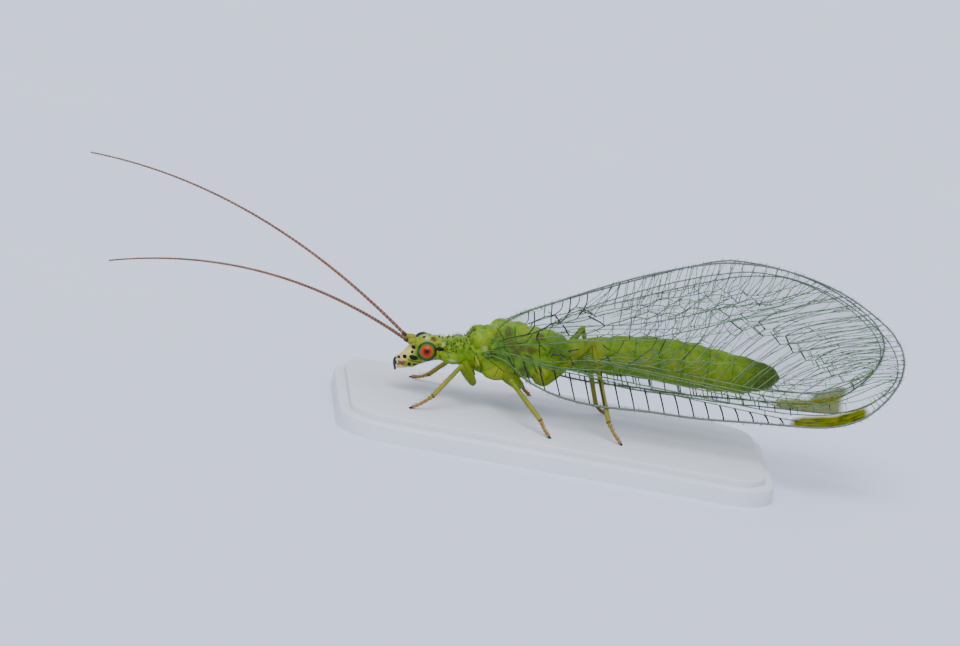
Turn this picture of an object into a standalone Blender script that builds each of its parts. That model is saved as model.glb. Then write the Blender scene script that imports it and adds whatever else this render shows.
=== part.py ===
"""Green lacewing at rest on a thin display plate, life size.

The insect faces -X, its left side is -Y, and +Z is up. Every length below is in millimetres,
and each finished mesh is scaled to metres. The insect's own parts are modelled on feet that
stand at z = 0, and their objects are then lifted on to the plate. The origin of the whole
model is the middle of the plate's underside.
"""

from math import cos, hypot, pi, radians, sin

import bmesh
import bpy
from mathutils import Matrix, Vector

# Scale, and the gap between parts that meet
MM = 0.001
GAP = 0.25
LEFT, RIGHT = -1, 1

# Plate under the feet
PLATE_SIZE = (15.0, 8.0, 0.6)
PLATE_CORNER = 1.6
PLATE_EDGE = 0.10
FEET_ABOVE_BASE = PLATE_SIZE[2] + GAP

# Body, front to back: where each division ends along X
HEAD_BACK = -4.50
NECK_BACK = -3.42
MESO_BACK = -1.42
META_BACK = -0.20
ABDOMEN_TIP = 7.25

# Head and eyes
HEAD_CENTRE = Vector((-5.06, 0, 1.58))
HEAD_HALF = (0.60, 0.46, 0.50)
CHEEK_Y = 0.40
FACE_CENTRE = Vector((-5.34, 0, 1.22))
FACE_HALF = (0.34, 0.34, 0.42)
JAW_CENTRE = Vector((-5.50, 0, 0.94))
JAW_HALF = (0.24, 0.22, 0.20)
PALP_ROOT = Vector((-5.48, 0.17, 1.02))
PALP_BEND = Vector((-5.72, 0.24, 0.98))
PALP_TIP = Vector((-5.70, 0.22, 0.70))
PALP_RADIUS = 0.14
EYE_CENTRE = Vector((-4.80, 0, 1.65))
EYE_RADIUS = 0.34
EYE_FLAT_Y = CHEEK_Y + 0.2
EYE_OUT = 0.36

# Thorax
PRONOTUM_CENTRE = Vector((-3.95, 0, 1.74))
PRONOTUM_HALF = (0.80, 0.60, 0.46)
PRONOTUM_TILT = 12
PRONOTUM_FRONT_WIDTH = 0.78
PRONOTUM_FLAT_TOP = 0.86
MESO_CENTRE = Vector((-2.26, 0, 2.04))
MESO_HALF = (1.08, 0.84, 0.84)
SCUTUM_CENTRE = Vector((-2.62, 0.36, 2.52))
SCUTUM_HALF = (0.62, 0.42, 0.40)
SCUTELLUM_CENTRE = Vector((-1.72, 0, 2.92))
SCUTELLUM_HALF = (0.36, 0.34, 0.24)
MESO_COXA_CENTRE = Vector((-2.28, 0.38, 1.22))
MESO_COXA_HALF = (0.56, 0.34, 0.46)
META_CENTRE = Vector((-0.85, 0, 2.10))
META_HALF = (0.86, 0.66, 0.84)
META_COXA_CENTRE = Vector((-0.92, 0.36, 1.36))
META_COXA_HALF = (0.46, 0.30, 0.38)

# Abdomen: a round bag that rises from the thorax and runs level to a blunt end
ABDOMEN_ROOT = META_BACK + GAP
ABDOMEN_RADIUS = 0.72
ABDOMEN_NECK = 0.66
ABDOMEN_TAIL_FROM = 0.66
ABDOMEN_ROOT_Z = 2.28
ABDOMEN_Z = 2.72
ABDOMEN_RISE_TO = 0.42
ABDOMEN_SEGMENTS = 8
SEGMENT_GROOVE = 0.045

# Roof that the folded wings form: the distance of a forewing's middle layer from the midline
ROOF_TOP_Z = 6.60
ROOF_TOP_Y = 0.42
ROOF_TOP_X = 5.20
ROOF_SLOPE = 0.31
ROOF_TAPER = 0.03
ROOF_BULGE = 0.22
ROOF_BULGE_Z = 4.0
ROOF_BULGE_REACH = 2.7
ROOT_Y = 1.34
ROOT_BLEND = 2.2

# Wings: each is a flat plate seen from the side, with a length, a pitch and four quarter curves
FORE = {
    "root": (-2.67, 2.20),
    "pitch": 8.6,
    "length": 13.98,
    "trailing": (3.17, 8.40, 1.5, 1.7),
    "costal": (2.10, 10.50, 2.0, 2.0),
    "costal_from": 0.0,
    "root_half": 0.24,
    "inward": 0.0,
    "thickness": 0.42,
    "stations": 24,
}
HIND = {
    "root": (-0.82, 3.02),
    "pitch": 5.4,
    "length": 11.70,
    "trailing": (1.66, 6.60, 1.6, 1.7),
    "costal": (1.75, 9.00, 2.0, 2.0),
    "costal_from": 1.7,
    "root_half": 0.20,
    "inward": 0.70,
    "thickness": 0.40,
    "stations": 20,
}
# Main veins: chord share at the root and at the tip, and how fast each nears its tip share
FORE_VEINS = (
    (0.30, 0.050, 1.7),
    (0.38, 0.110, 1.7),
    (0.46, 0.175, 1.7),
    (0.56, 0.38, 1.0),
    (0.66, 0.62, 1.0),
    (0.80, 0.82, 1.0),
)
HIND_VEINS = (
    (0.30, 0.055, 1.6),
    (0.44, 0.16, 1.5),
    (0.58, 0.42, 1.0),
    (0.76, 0.70, 1.0),
)
VEIN_HALF = 0.018
VEIN_RISE = 0.08
VEIN_FULL_CHORD = 2.0
TIP_MARGIN = 0.006

# Antennae: (x, y, z) along each, root first, for the right one; the left one bends nearer
ANTENNA_RADIUS = 0.25
ANTENNA_TIP_RADIUS = 0.10
ANTENNA_POINTS = 22
ANTENNA_SIDES_RESOLUTION = 2
ANTENNA_ROOT = Vector((-5.66, 0.38, 2.06))
ANTENNA_RIGHT_TIP = Vector((-17.10, 2.00, 5.75))
ANTENNA_RIGHT_BOW = Vector((0, 0.15, 0.80))
ANTENNA_LEFT_TIP = Vector((-16.20, -6.00, 4.10))
ANTENNA_LEFT_BOW = Vector((0, 0.10, 0.75))

# Legs: joints from hip to claw, on the left, and the radius there
LEG_JOINTS = {
    "front": ((-3.42, -0.46, 1.06), (-3.02, -0.62, 0.70), (-3.76, -1.45, 1.40), (-4.42, -1.90, 0.52)),
    "mid": ((-1.78, -0.55, 0.62), (-1.30, -0.75, 0.80), (-1.86, -1.62, 1.20), (-0.74, -2.40, 0.45)),
    "hind": ((-0.72, -0.42, 0.72), (-0.34, -0.62, 1.05), (0.58, -1.02, 2.62), (1.62, -1.62, 0.60)),
}
FOOT_TIPS = {"front": (-5.08, -2.10), "mid": (-0.36, -2.72), "hind": (2.17, -1.86)}
RIGHT_SHIFT = {"front": (0.10, 0.0), "mid": (-0.30, 0.10), "hind": (-0.22, 0.0)}
LEG_RADII = ((0.33, 0.31), (0.28, 0.27), (0.24, 0.23), (0.20, 0.18))
FOOT_DEPTH = 0.16
LIMB_SIDES = 10

# Colours: base colour, roughness
GREEN = ((0.32, 0.50, 0.05), 0.45)
PALE_GREEN = ((0.50, 0.62, 0.14), 0.45)
LEG_GREEN = ((0.42, 0.46, 0.12), 0.5)
EYE_RED = ((0.35, 0.05, 0.02), 0.15)
ANTENNA_BROWN = ((0.30, 0.19, 0.12), 0.6)
WING_CLEAR = ((0.72, 0.80, 0.72), 0.25)
PLATE_PALE = ((0.72, 0.74, 0.78), 0.7)


for leftover in list(bpy.data.objects):
    bpy.data.objects.remove(leftover, do_unlink=True)

lacewing = bpy.data.collections.new("green_lacewing")
bpy.context.scene.collection.children.link(lacewing)
workbench = bpy.data.collections.new("workbench")
workbench.hide_render = True
bpy.context.scene.collection.children.link(workbench)


def smoothstep(t):
    t = min(max(t, 0.0), 1.0)
    return t * t * (3 - 2 * t)


def quarter(u, power):
    """Falls from 1 at u = 0 to 0 at u = 1, along a superellipse."""
    return (1 - min(abs(u), 1.0) ** power) ** (1 / power)


def mirrored(point, side):
    """A point given for the left (-Y) or as a positive distance, on the side asked for."""
    return Vector((point[0], side * abs(point[1]), point[2]))


def material(name, finish):
    """A Principled material of one colour and roughness."""
    colour, roughness = finish
    made = bpy.data.materials.new(name)
    made.use_nodes = True
    shader = made.node_tree.nodes["Principled BSDF"]
    shader.inputs["Base Color"].default_value = (*colour, 1)
    shader.inputs["Roughness"].default_value = roughness
    shader.inputs["Metallic"].default_value = 0
    return made


def link(name, bm, finish, lift=FEET_ABOVE_BASE, sharp=35):
    """Turns a millimetre bmesh into a named part in metres."""
    bmesh.ops.scale(bm, vec=(MM, MM, MM), verts=bm.verts)
    mesh = bpy.data.meshes.new(name)
    bm.to_mesh(mesh)
    bm.free()
    mesh.shade_smooth()
    mesh.set_sharp_from_angle(angle=radians(sharp))
    mesh.materials.append(material(name, finish))
    part = bpy.data.objects.new(name, mesh)
    part.location = (0, 0, lift * MM)
    lacewing.objects.link(part)
    return part


def lobe(centre, half, blunt=2.0, sides=16, rings=10):
    """An ellipsoid with its poles on X; blunt above 2 squares its ends."""
    bm = bmesh.new()
    bmesh.ops.create_uvsphere(bm, u_segments=sides, v_segments=rings, radius=1)
    bmesh.ops.rotate(bm, matrix=Matrix.Rotation(pi / 2, 3, "Y"), verts=bm.verts)
    for vert in bm.verts:
        across = hypot(vert.co.y, vert.co.z)
        along = min(abs(vert.co.x), 1.0)
        if across > 1e-6:
            widen = across ** (2 / blunt) / across
            vert.co.y *= widen
            vert.co.z *= widen
        vert.co.x = along ** (2 / blunt) * (1 if vert.co.x > 0 else -1)
    bmesh.ops.scale(bm, vec=half, verts=bm.verts)
    bmesh.ops.translate(bm, vec=centre, verts=bm.verts)
    return bm


def limb(start, end, start_radius, end_radius, sides=LIMB_SIDES, rings=6):
    """A tapered bar with round ends, centred on the joints at both of its ends."""
    start, end = Vector(start), Vector(end)
    along = end - start
    bm = bmesh.new()
    bmesh.ops.create_uvsphere(bm, u_segments=sides, v_segments=rings, radius=1)
    for vert in bm.verts:
        radius = end_radius if vert.co.z > 1e-4 else start_radius
        vert.co *= radius
        if radius == end_radius and vert.co.z > 1e-4:
            vert.co.z += along.length
    bmesh.ops.rotate(bm, matrix=along.to_track_quat("Z", "X").to_matrix(), verts=bm.verts)
    bmesh.ops.translate(bm, vec=start, verts=bm.verts)
    return bm


def largest_surface(bm):
    """Deletes all but the largest closed surface."""
    left = set(bm.faces)
    pieces = []
    while left:
        queue = [left.pop()]
        piece = set(queue)
        while queue:
            for edge in queue.pop().edges:
                for face in edge.link_faces:
                    if face in left:
                        left.remove(face)
                        piece.add(face)
                        queue.append(face)
        pieces.append(piece)
    pieces.sort(key=lambda piece: sum(face.calc_area() for face in piece))
    for piece in pieces[:-1]:
        bmesh.ops.delete(bm, geom=list(piece), context="FACES")


def union(pieces):
    """Joins closed bmeshes with one Boolean and returns the joined surface."""
    objects = []
    for index, bm in enumerate(pieces):
        mesh = bpy.data.meshes.new(f"piece_{index}")
        bm.to_mesh(mesh)
        bm.free()
        objects.append(bpy.data.objects.new(f"piece_{index}", mesh))
    host, others = objects[0], objects[1:]
    workbench.objects.link(host)
    tools = bpy.data.collections.new("tools")
    workbench.children.link(tools)
    for other in others:
        tools.objects.link(other)
    boolean = host.modifiers.new("join", "BOOLEAN")
    boolean.operation = "UNION"
    boolean.operand_type = "COLLECTION"
    boolean.collection = tools
    boolean.solver = "EXACT"
    graph = bpy.context.evaluated_depsgraph_get()
    joined = bmesh.new()
    joined.from_mesh(host.evaluated_get(graph).to_mesh())
    for used in objects:
        mesh = used.data
        bpy.data.objects.remove(used, do_unlink=True)
        bpy.data.meshes.remove(mesh)
    bpy.data.collections.remove(tools)
    bmesh.ops.remove_doubles(joined, verts=joined.verts, dist=0.002)
    largest_surface(joined)
    return joined


def trim(bm, point, normal):
    """Cuts away what lies past a plane and closes the cut."""
    bmesh.ops.bisect_plane(
        bm,
        geom=bm.verts[:] + bm.edges[:] + bm.faces[:],
        dist=1e-4,
        plane_co=point,
        plane_no=normal,
        clear_outer=True,
    )
    bmesh.ops.holes_fill(bm, edges=[edge for edge in bm.edges if edge.is_boundary])
    return bm


def pair(make):
    """The same piece on the left and on the right."""
    return [make(LEFT), make(RIGHT)]


def palp(side):
    root, bend, tip = (mirrored(point, side) for point in (PALP_ROOT, PALP_BEND, PALP_TIP))
    return [
        limb(root, bend, PALP_RADIUS, PALP_RADIUS, 8, 4),
        limb(bend, tip, PALP_RADIUS * 0.9, PALP_RADIUS * 0.7, 8, 4),
    ]


def build_head():
    pieces = [
        lobe(HEAD_CENTRE, HEAD_HALF, blunt=2.3, sides=14, rings=10),
        lobe(FACE_CENTRE, FACE_HALF, sides=12, rings=8),
        lobe(JAW_CENTRE, JAW_HALF, sides=10, rings=6),
        *palp(LEFT),
        *palp(RIGHT),
    ]
    bm = union(pieces)
    trim(bm, (HEAD_BACK, 0, 0), (1, 0, 0))
    trim(bm, (0, CHEEK_Y, 0), (0, 1, 0))
    trim(bm, (0, -CHEEK_Y, 0), (0, -1, 0))
    link("head", bm, PALE_GREEN)


def build_eye(name, side):
    bm = lobe(Vector((0, 0, 0)), (EYE_RADIUS, EYE_OUT, EYE_RADIUS), sides=16, rings=12)
    trim(bm, (0, 0, 0), (0, -side, 0))
    place = Vector((EYE_CENTRE.x, side * EYE_FLAT_Y, EYE_CENTRE.z))
    bmesh.ops.translate(bm, vec=place, verts=bm.verts)
    link(name, bm, EYE_RED)


def build_prothorax():
    """A shield, narrower in front and flatter above than a barrel."""
    bm = lobe(Vector((0, 0, 0)), PRONOTUM_HALF, blunt=3.0, sides=18)
    for vert in bm.verts:
        forward = (1 - vert.co.x / PRONOTUM_HALF[0]) / 2
        vert.co.y *= 1 - (1 - PRONOTUM_FRONT_WIDTH) * forward
        if vert.co.z > 0:
            vert.co.z *= PRONOTUM_FLAT_TOP + (1 - PRONOTUM_FLAT_TOP) * (1 - forward)
    bmesh.ops.rotate(bm, matrix=Matrix.Rotation(-radians(PRONOTUM_TILT), 3, "Y"), verts=bm.verts)
    bmesh.ops.translate(bm, vec=PRONOTUM_CENTRE, verts=bm.verts)
    trim(bm, (HEAD_BACK + GAP, 0, 0), (-1, 0, 0))
    trim(bm, (NECK_BACK, 0, 0), (1, 0, 0))
    link("prothorax", bm, GREEN)


def build_mesothorax():
    pieces = [lobe(MESO_CENTRE, MESO_HALF, blunt=2.8)]
    pieces += pair(lambda side: lobe(mirrored(SCUTUM_CENTRE, side), SCUTUM_HALF, sides=12, rings=8))
    pieces += [lobe(SCUTELLUM_CENTRE, SCUTELLUM_HALF, sides=10, rings=6)]
    pieces += pair(lambda side: lobe(mirrored(MESO_COXA_CENTRE, side), MESO_COXA_HALF, sides=12, rings=8))
    bm = union(pieces)
    trim(bm, (NECK_BACK + GAP, 0, 0), (-1, 0, 0))
    trim(bm, (MESO_BACK, 0, 0), (1, 0, 0))
    link("mesothorax", bm, PALE_GREEN)


def build_metathorax():
    pieces = [lobe(META_CENTRE, META_HALF, blunt=2.8)]
    pieces += pair(lambda side: lobe(mirrored(META_COXA_CENTRE, side), META_COXA_HALF, sides=12, rings=8))
    bm = union(pieces)
    trim(bm, (MESO_BACK + GAP, 0, 0), (-1, 0, 0))
    trim(bm, (META_BACK, 0, 0), (1, 0, 0))
    link("metathorax", bm, GREEN)


def abdomen_radius(t):
    """Radius at a share t of the abdomen's length."""
    swell = ABDOMEN_NECK + (1 - ABDOMEN_NECK) * smoothstep(t / ABDOMEN_RISE_TO)
    tail = quarter((t - ABDOMEN_TAIL_FROM) / (1 - ABDOMEN_TAIL_FROM), 2.4) if t > ABDOMEN_TAIL_FROM else 1
    return ABDOMEN_RADIUS * swell * tail


def abdomen_height(t):
    rise = max(1 - t / ABDOMEN_RISE_TO, 0)
    return ABDOMEN_Z - (ABDOMEN_Z - ABDOMEN_ROOT_Z) * rise * rise


def build_abdomen():
    """A round bag whose rings dip a little at the end of every segment."""
    length = ABDOMEN_TIP - ABDOMEN_ROOT
    rings = 4 * ABDOMEN_SEGMENTS
    bm = lobe(Vector((0, 0, 0)), (1, 1, 1), sides=16, rings=rings)
    for vert in bm.verts:
        across = hypot(vert.co.y, vert.co.z)
        t = (vert.co.x + 1) / 2
        phase = (t * ABDOMEN_SEGMENTS) % 1
        groove = SEGMENT_GROOVE if min(phase, 1 - phase) < 0.06 else 0
        radius = max(abdomen_radius(t) - groove, 0)
        if across > 1e-6:
            vert.co.y *= radius / across
            vert.co.z *= radius / across
        vert.co.x = ABDOMEN_ROOT + t * length
        vert.co.z += abdomen_height(t)
    link("abdomen", bm, GREEN)


def roof(x, z):
    """Distance from the midline of a forewing's middle layer, clear of the root."""
    bulge = ROOF_BULGE * max(1 - ((z - ROOF_BULGE_Z) / ROOF_BULGE_REACH) ** 2, 0)
    return ROOF_TOP_Y + ROOF_SLOPE * (ROOF_TOP_Z - z) + ROOF_TAPER * (x - ROOF_TOP_X) + bulge


def wing_point(wing, s, h):
    """Place on a left wing's middle layer, s along it and h across it."""
    pitch = radians(wing["pitch"])
    x = wing["root"][0] + s * cos(pitch) - h * sin(pitch)
    z = wing["root"][1] + s * sin(pitch) + h * cos(pitch)
    along = x - FORE["root"][0]
    out = ROOT_Y + (roof(x, z) - ROOT_Y) * smoothstep(along / ROOT_BLEND)
    return Vector((x, -(out - wing["inward"]), z))


def wing_edge(wing, edge, s):
    """Distance from the wing's own axis to one of its edges."""
    peak, peak_at, root_power, tip_power = wing[edge]
    start = wing["costal_from"] if edge == "costal" else 0
    if s > peak_at:
        return peak * quarter((s - peak_at) / (wing["length"] - peak_at), tip_power)
    if s < start:
        return wing["root_half"] * (1 - s / start)
    rise = quarter((peak_at - s) / (peak_at - start), root_power)
    floor = 0 if start else wing["root_half"]
    return floor + (peak - floor) * rise


def wing_columns(veins, s_share):
    """Chord shares and their rise: the costal margin is 0 and the trailing margin 1."""
    columns = [(0, VEIN_RISE), (VEIN_HALF, 0)]
    for base, tip, power in veins:
        middle = tip + (base - tip) * (1 - s_share) ** power
        columns += [(middle - VEIN_HALF, 0), (middle, VEIN_RISE), (middle + VEIN_HALF, 0)]
    return columns + [(1 - VEIN_HALF, 0), (1, VEIN_RISE)]


def build_wing(name, wing, veins, side):
    """A thin plate, split into the same triangles on both faces, with veins raised on the outer."""
    stations = wing["stations"]
    count = len(wing_columns(veins, 0))
    bm = bmesh.new()
    bmesh.ops.create_grid(bm, x_segments=stations, y_segments=count - 1, size=1)
    bm.verts.ensure_lookup_table()
    order = sorted(bm.verts, key=lambda vert: (round(vert.co.x, 5), round(vert.co.y, 5)))
    rises = {}
    for index, vert in enumerate(order):
        station, column = divmod(index, count)
        share = (1 - cos(pi * station / stations)) / 2 * (1 - TIP_MARGIN)
        s = share * wing["length"]
        low, high = -wing_edge(wing, "costal", s), wing_edge(wing, "trailing", s)
        chord, rise = wing_columns(veins, share)[column]
        h = low + (high - low) * chord
        rise *= smoothstep((high - low) / VEIN_FULL_CHORD)
        vert.co = wing_point(wing, s, h)
        step = 0.01
        along = wing_point(wing, s + step, h) - vert.co
        across = wing_point(wing, s, h + step) - vert.co
        outward = along.cross(across).normalized()
        if outward.y > 0:
            outward.negate()
        rises[vert.index] = (outward, rise)
    bmesh.ops.triangulate(bm, faces=bm.faces[:])
    half = wing["thickness"] / 2
    inner = bm.verts[:]
    grown = bmesh.ops.extrude_face_region(bm, geom=bm.faces[:], use_keep_orig=True)
    outer = [item for item in grown["geom"] if isinstance(item, bmesh.types.BMVert)]
    place = {tuple(round(value, 5) for value in vert.co): rises[vert.index] for vert in inner}
    for vert in outer:
        outward, rise = place[tuple(round(value, 5) for value in vert.co)]
        vert.co += outward * (half + rise)
    for vert in inner:
        outward, rise = rises[vert.index]
        vert.co -= outward * half
    if side == RIGHT:
        bmesh.ops.scale(bm, vec=(1, -1, 1), verts=bm.verts)
    bmesh.ops.recalc_face_normals(bm, faces=bm.faces[:])
    link(name, bm, WING_CLEAR, sharp=60)


def build_antenna(name, tip, bow, side):
    """A tapering bristle: a poly curve with filled caps, converted to a mesh."""
    root = mirrored(ANTENNA_ROOT, side)
    curve = bpy.data.curves.new(name, "CURVE")
    curve.dimensions = "3D"
    curve.bevel_depth = ANTENNA_RADIUS
    curve.bevel_resolution = ANTENNA_SIDES_RESOLUTION
    curve.use_fill_caps = True
    spline = curve.splines.new("POLY")
    spline.points.add(ANTENNA_POINTS - 1)
    for index, point in enumerate(spline.points):
        t = index / (ANTENNA_POINTS - 1)
        place = root.lerp(tip, t) + bow * 4 * t * (1 - t)
        point.co = (*place, 1)
        thin = smoothstep((t - 0.80) / 0.20)
        point.radius = 1 + (ANTENNA_TIP_RADIUS / ANTENNA_RADIUS - 1) * thin
    guide = bpy.data.objects.new(name + "_guide", curve)
    workbench.objects.link(guide)
    graph = bpy.context.evaluated_depsgraph_get()
    mesh = bpy.data.meshes.new_from_object(guide.evaluated_get(graph))
    bpy.data.objects.remove(guide, do_unlink=True)
    bm = bmesh.new()
    bm.from_mesh(mesh)
    bmesh.ops.remove_doubles(bm, verts=bm.verts, dist=0.001)
    bmesh.ops.recalc_face_normals(bm, faces=bm.faces[:])
    link(name, bm, ANTENNA_BROWN, sharp=60)


def build_leg(name, which, side):
    """Hip, thigh, shin and foot: tapered bars with balls at the joints, joined and set flat."""
    shift = Vector((*RIGHT_SHIFT[which], 0)) if side == RIGHT else Vector((0, 0, 0))
    joints = []
    for index, joint in enumerate(LEG_JOINTS[which]):
        share = index / len(LEG_JOINTS[which])
        joints.append(mirrored(Vector(joint) - shift * Vector((-1, 1, 0)) * share, side))
    foot_x, foot_y = FOOT_TIPS[which]
    foot = Vector((foot_x + shift.x, -abs(foot_y) + shift.y, FOOT_DEPTH))
    joints.append(mirrored(foot, side))
    pieces = []
    for index, radii in enumerate(LEG_RADII):
        pieces.append(limb(joints[index], joints[index + 1], *radii))
    bm = union(pieces)
    trim(bm, (0, 0, 0), (0, 0, -1))
    link(name, bm, LEG_GREEN)


def build_plate():
    """A flat plate with round corners and a softened upper edge."""
    bm = bmesh.new()
    bmesh.ops.create_cube(bm, size=1)
    bmesh.ops.scale(bm, vec=PLATE_SIZE, verts=bm.verts)
    bmesh.ops.translate(bm, vec=(0, 0, PLATE_SIZE[2] / 2), verts=bm.verts)
    upright = [edge for edge in bm.edges if abs(edge.verts[0].co.z - edge.verts[1].co.z) > PLATE_EDGE]
    bmesh.ops.bevel(bm, geom=upright, offset=PLATE_CORNER, segments=6, profile=0.5, affect="EDGES")
    rim = [edge for edge in bm.edges if all(vert.co.z > PLATE_SIZE[2] - 1e-4 for vert in edge.verts)]
    bmesh.ops.bevel(bm, geom=rim, offset=PLATE_EDGE, segments=2, profile=0.5, affect="EDGES")
    link("stand_base", bm, PLATE_PALE, lift=0)


build_head()
build_prothorax()
build_mesothorax()
build_metathorax()
build_abdomen()
for side, word in ((LEFT, "left"), (RIGHT, "right")):
    build_eye(f"eye_{word}", side)
    build_wing(f"forewing_{word}", FORE, FORE_VEINS, side)
    build_wing(f"hindwing_{word}", HIND, HIND_VEINS, side)
    for which in LEG_JOINTS:
        build_leg(f"leg_{which}_{word}", which, side)
build_antenna("antenna_left", ANTENNA_LEFT_TIP, ANTENNA_LEFT_BOW, LEFT)
build_antenna("antenna_right", ANTENNA_RIGHT_TIP, ANTENNA_RIGHT_BOW, RIGHT)
build_plate()
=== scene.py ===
from math import acos, cos, hypot, pi, radians, sin
from random import Random

import bmesh
import bpy
import numpy as np
from mathutils import Matrix, Vector


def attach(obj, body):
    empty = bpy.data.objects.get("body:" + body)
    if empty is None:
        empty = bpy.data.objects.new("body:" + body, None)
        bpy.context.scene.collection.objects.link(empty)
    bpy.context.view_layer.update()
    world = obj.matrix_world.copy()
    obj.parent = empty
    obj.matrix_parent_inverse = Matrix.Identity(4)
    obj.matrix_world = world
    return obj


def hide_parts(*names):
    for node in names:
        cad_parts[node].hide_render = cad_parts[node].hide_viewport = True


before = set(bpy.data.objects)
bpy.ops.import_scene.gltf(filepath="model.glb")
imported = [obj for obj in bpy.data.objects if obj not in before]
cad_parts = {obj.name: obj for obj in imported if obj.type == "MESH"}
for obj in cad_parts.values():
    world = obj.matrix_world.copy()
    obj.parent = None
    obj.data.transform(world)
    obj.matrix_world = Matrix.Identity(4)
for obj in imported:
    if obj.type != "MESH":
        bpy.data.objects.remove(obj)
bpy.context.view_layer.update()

# Camera. A long lens 240 mm away, off the insect's left flank and looking a little down on it.
# It is rolled, so that the insect, which stands level here, keeps the slant that it has in the picture.
MM = 0.001
FEET = 0.85  # height of the surface that the feet stand on, in millimetres as all sizes below
PICTURE = (960, 646)
PIXELS_PER_MM = 29.4
AIM_PIXEL = (554.5, 418.9)
CAMERA_DISTANCE = 240.0
SENSOR = 36.0
turn, rise, roll = radians(-6.0), radians(13.5), radians(11.8)
back = Vector((sin(turn) * cos(rise), -cos(turn) * cos(rise), sin(rise)))
level_right = Vector((cos(turn), sin(turn), 0))
level_up = back.cross(level_right)
right = level_right * cos(roll) + level_up * sin(roll)
up = level_up * cos(roll) - level_right * sin(roll)
aside = (AIM_PIXEL[0] - PICTURE[0] / 2) / PIXELS_PER_MM
below = (PICTURE[1] / 2 - AIM_PIXEL[1]) / PIXELS_PER_MM
stand_point = Vector((0, 0, FEET)) - right * aside - up * below + back * CAMERA_DISTANCE
camera_data = bpy.data.cameras.new("camera")
camera_data.sensor_width = SENSOR
camera_data.lens = PIXELS_PER_MM * CAMERA_DISTANCE * SENSOR / PICTURE[0]
camera_data.clip_start = 0.01
camera_data.clip_end = 10
camera = bpy.data.objects.new("camera", camera_data)
camera.matrix_world = Matrix((right, up, back)).transposed().to_4x4()
camera.location = stand_point * MM
bpy.context.scene.collection.objects.link(camera)
bpy.context.scene.camera = camera

# Light. One wide soft lamp high in front and a pale room all round, as under a light tent.
# The cool tint of the room gives the floor its faint blue.
lamp_data = bpy.data.lights.new("soft_lamp", "SUN")
lamp_data.energy = 3.0
lamp_data.angle = radians(35)
lamp_data.color = (1.0, 0.985, 0.95)
lamp = bpy.data.objects.new("soft_lamp", lamp_data)
lamp.rotation_euler = (radians(30), radians(-16), radians(12))
bpy.context.scene.collection.objects.link(lamp)
room = bpy.data.worlds.new("light_tent")
room.use_nodes = True
room.node_tree.nodes["Background"].inputs["Color"].default_value = (0.87, 0.925, 1.0, 1)
room.node_tree.nodes["Background"].inputs["Strength"].default_value = 1.05
bpy.context.scene.world = room


# Floor. A plain pale studio sheet, matt, with only a breath of unevenness in its tone.
# It reaches far past the picture on every side.
RAGGEDNESS = 0.6  # how far noise shifts the edge of a layer of colour, where that edge is ragged


def add_node(tree, kind, inputs=(), **settings):
    """A shader node with its settings; each input is a constant or the output that feeds it."""
    made = tree.nodes.new(kind)
    for name, value in settings.items():
        setattr(made, name, value)
    for name, source in dict(inputs).items():
        if isinstance(source, bpy.types.NodeSocket):
            tree.links.new(source, made.inputs[name])
        else:
            made.inputs[name].default_value = source
    return made


def noise(tree, place, scale, **more):
    """The grey value of a noise texture."""
    return add_node(tree, "ShaderNodeTexNoise", {"Vector": place, "Scale": scale, **more}).outputs["Fac"]


def scaled_sum(tree, value, factor, addend):
    inputs = {0: value, 1: factor, 2: addend}
    return add_node(tree, "ShaderNodeMath", inputs, operation="MULTIPLY_ADD").outputs[0]


def rescale(tree, value, low, high, kind="LINEAR", **more):
    """A value that runs from 0 to 1, or between the given ends, as the source runs from low to high."""
    inputs = {"Value": value, "From Min": low, "From Max": high, **more}
    return add_node(tree, "ShaderNodeMapRange", inputs, interpolation_type=kind).outputs["Result"]


def mix_colours(tree, share, under, over):
    return add_node(tree, "ShaderNodeMix", {0: share, 6: under, 7: over}, data_type="RGBA").outputs[2]


def new_group(name, inputs, outputs):
    """An empty node group whose sockets are given by name and kind, with its two end nodes."""
    group = bpy.data.node_groups.new(name, "ShaderNodeTree")
    for in_out, sockets in (("INPUT", inputs), ("OUTPUT", outputs)):
        for socket, kind in sockets.items():
            group.interface.new_socket(socket, in_out=in_out, socket_type=f"NodeSocket{kind}")
    return group, group.nodes.new("NodeGroupInput").outputs, group.nodes.new("NodeGroupOutput").inputs


def surface_group():
    """Two colours mixed in soft patches, with fine grain as height and as roughness."""
    given = {"Colour": "Color", "Patch Colour": "Color", "Patch Scale": "Float", "Patch Amount": "Float"}
    given |= {"Grain Scale": "Float", "Roughness": "Float"}
    group, given, result = new_group(
        "living_surface", given, {"Colour": "Color", "Height": "Float", "Roughness": "Float"}
    )
    place = add_node(group, "ShaderNodeTexCoord").outputs["Object"]
    patches = noise(group, place, given["Patch Scale"], Detail=3.0, Roughness=0.55)
    patches = rescale(group, patches, 0.35, 0.65, **{"To Max": given["Patch Amount"]})
    grain = noise(group, place, given["Grain Scale"], Detail=4.0, Roughness=0.7)
    mixed = mix_colours(group, patches, given["Colour"], given["Patch Colour"])
    group.links.new(mixed, result["Colour"])
    group.links.new(grain, result["Height"])
    group.links.new(scaled_sum(group, grain, 0.25, given["Roughness"]), result["Roughness"])
    return group


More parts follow.
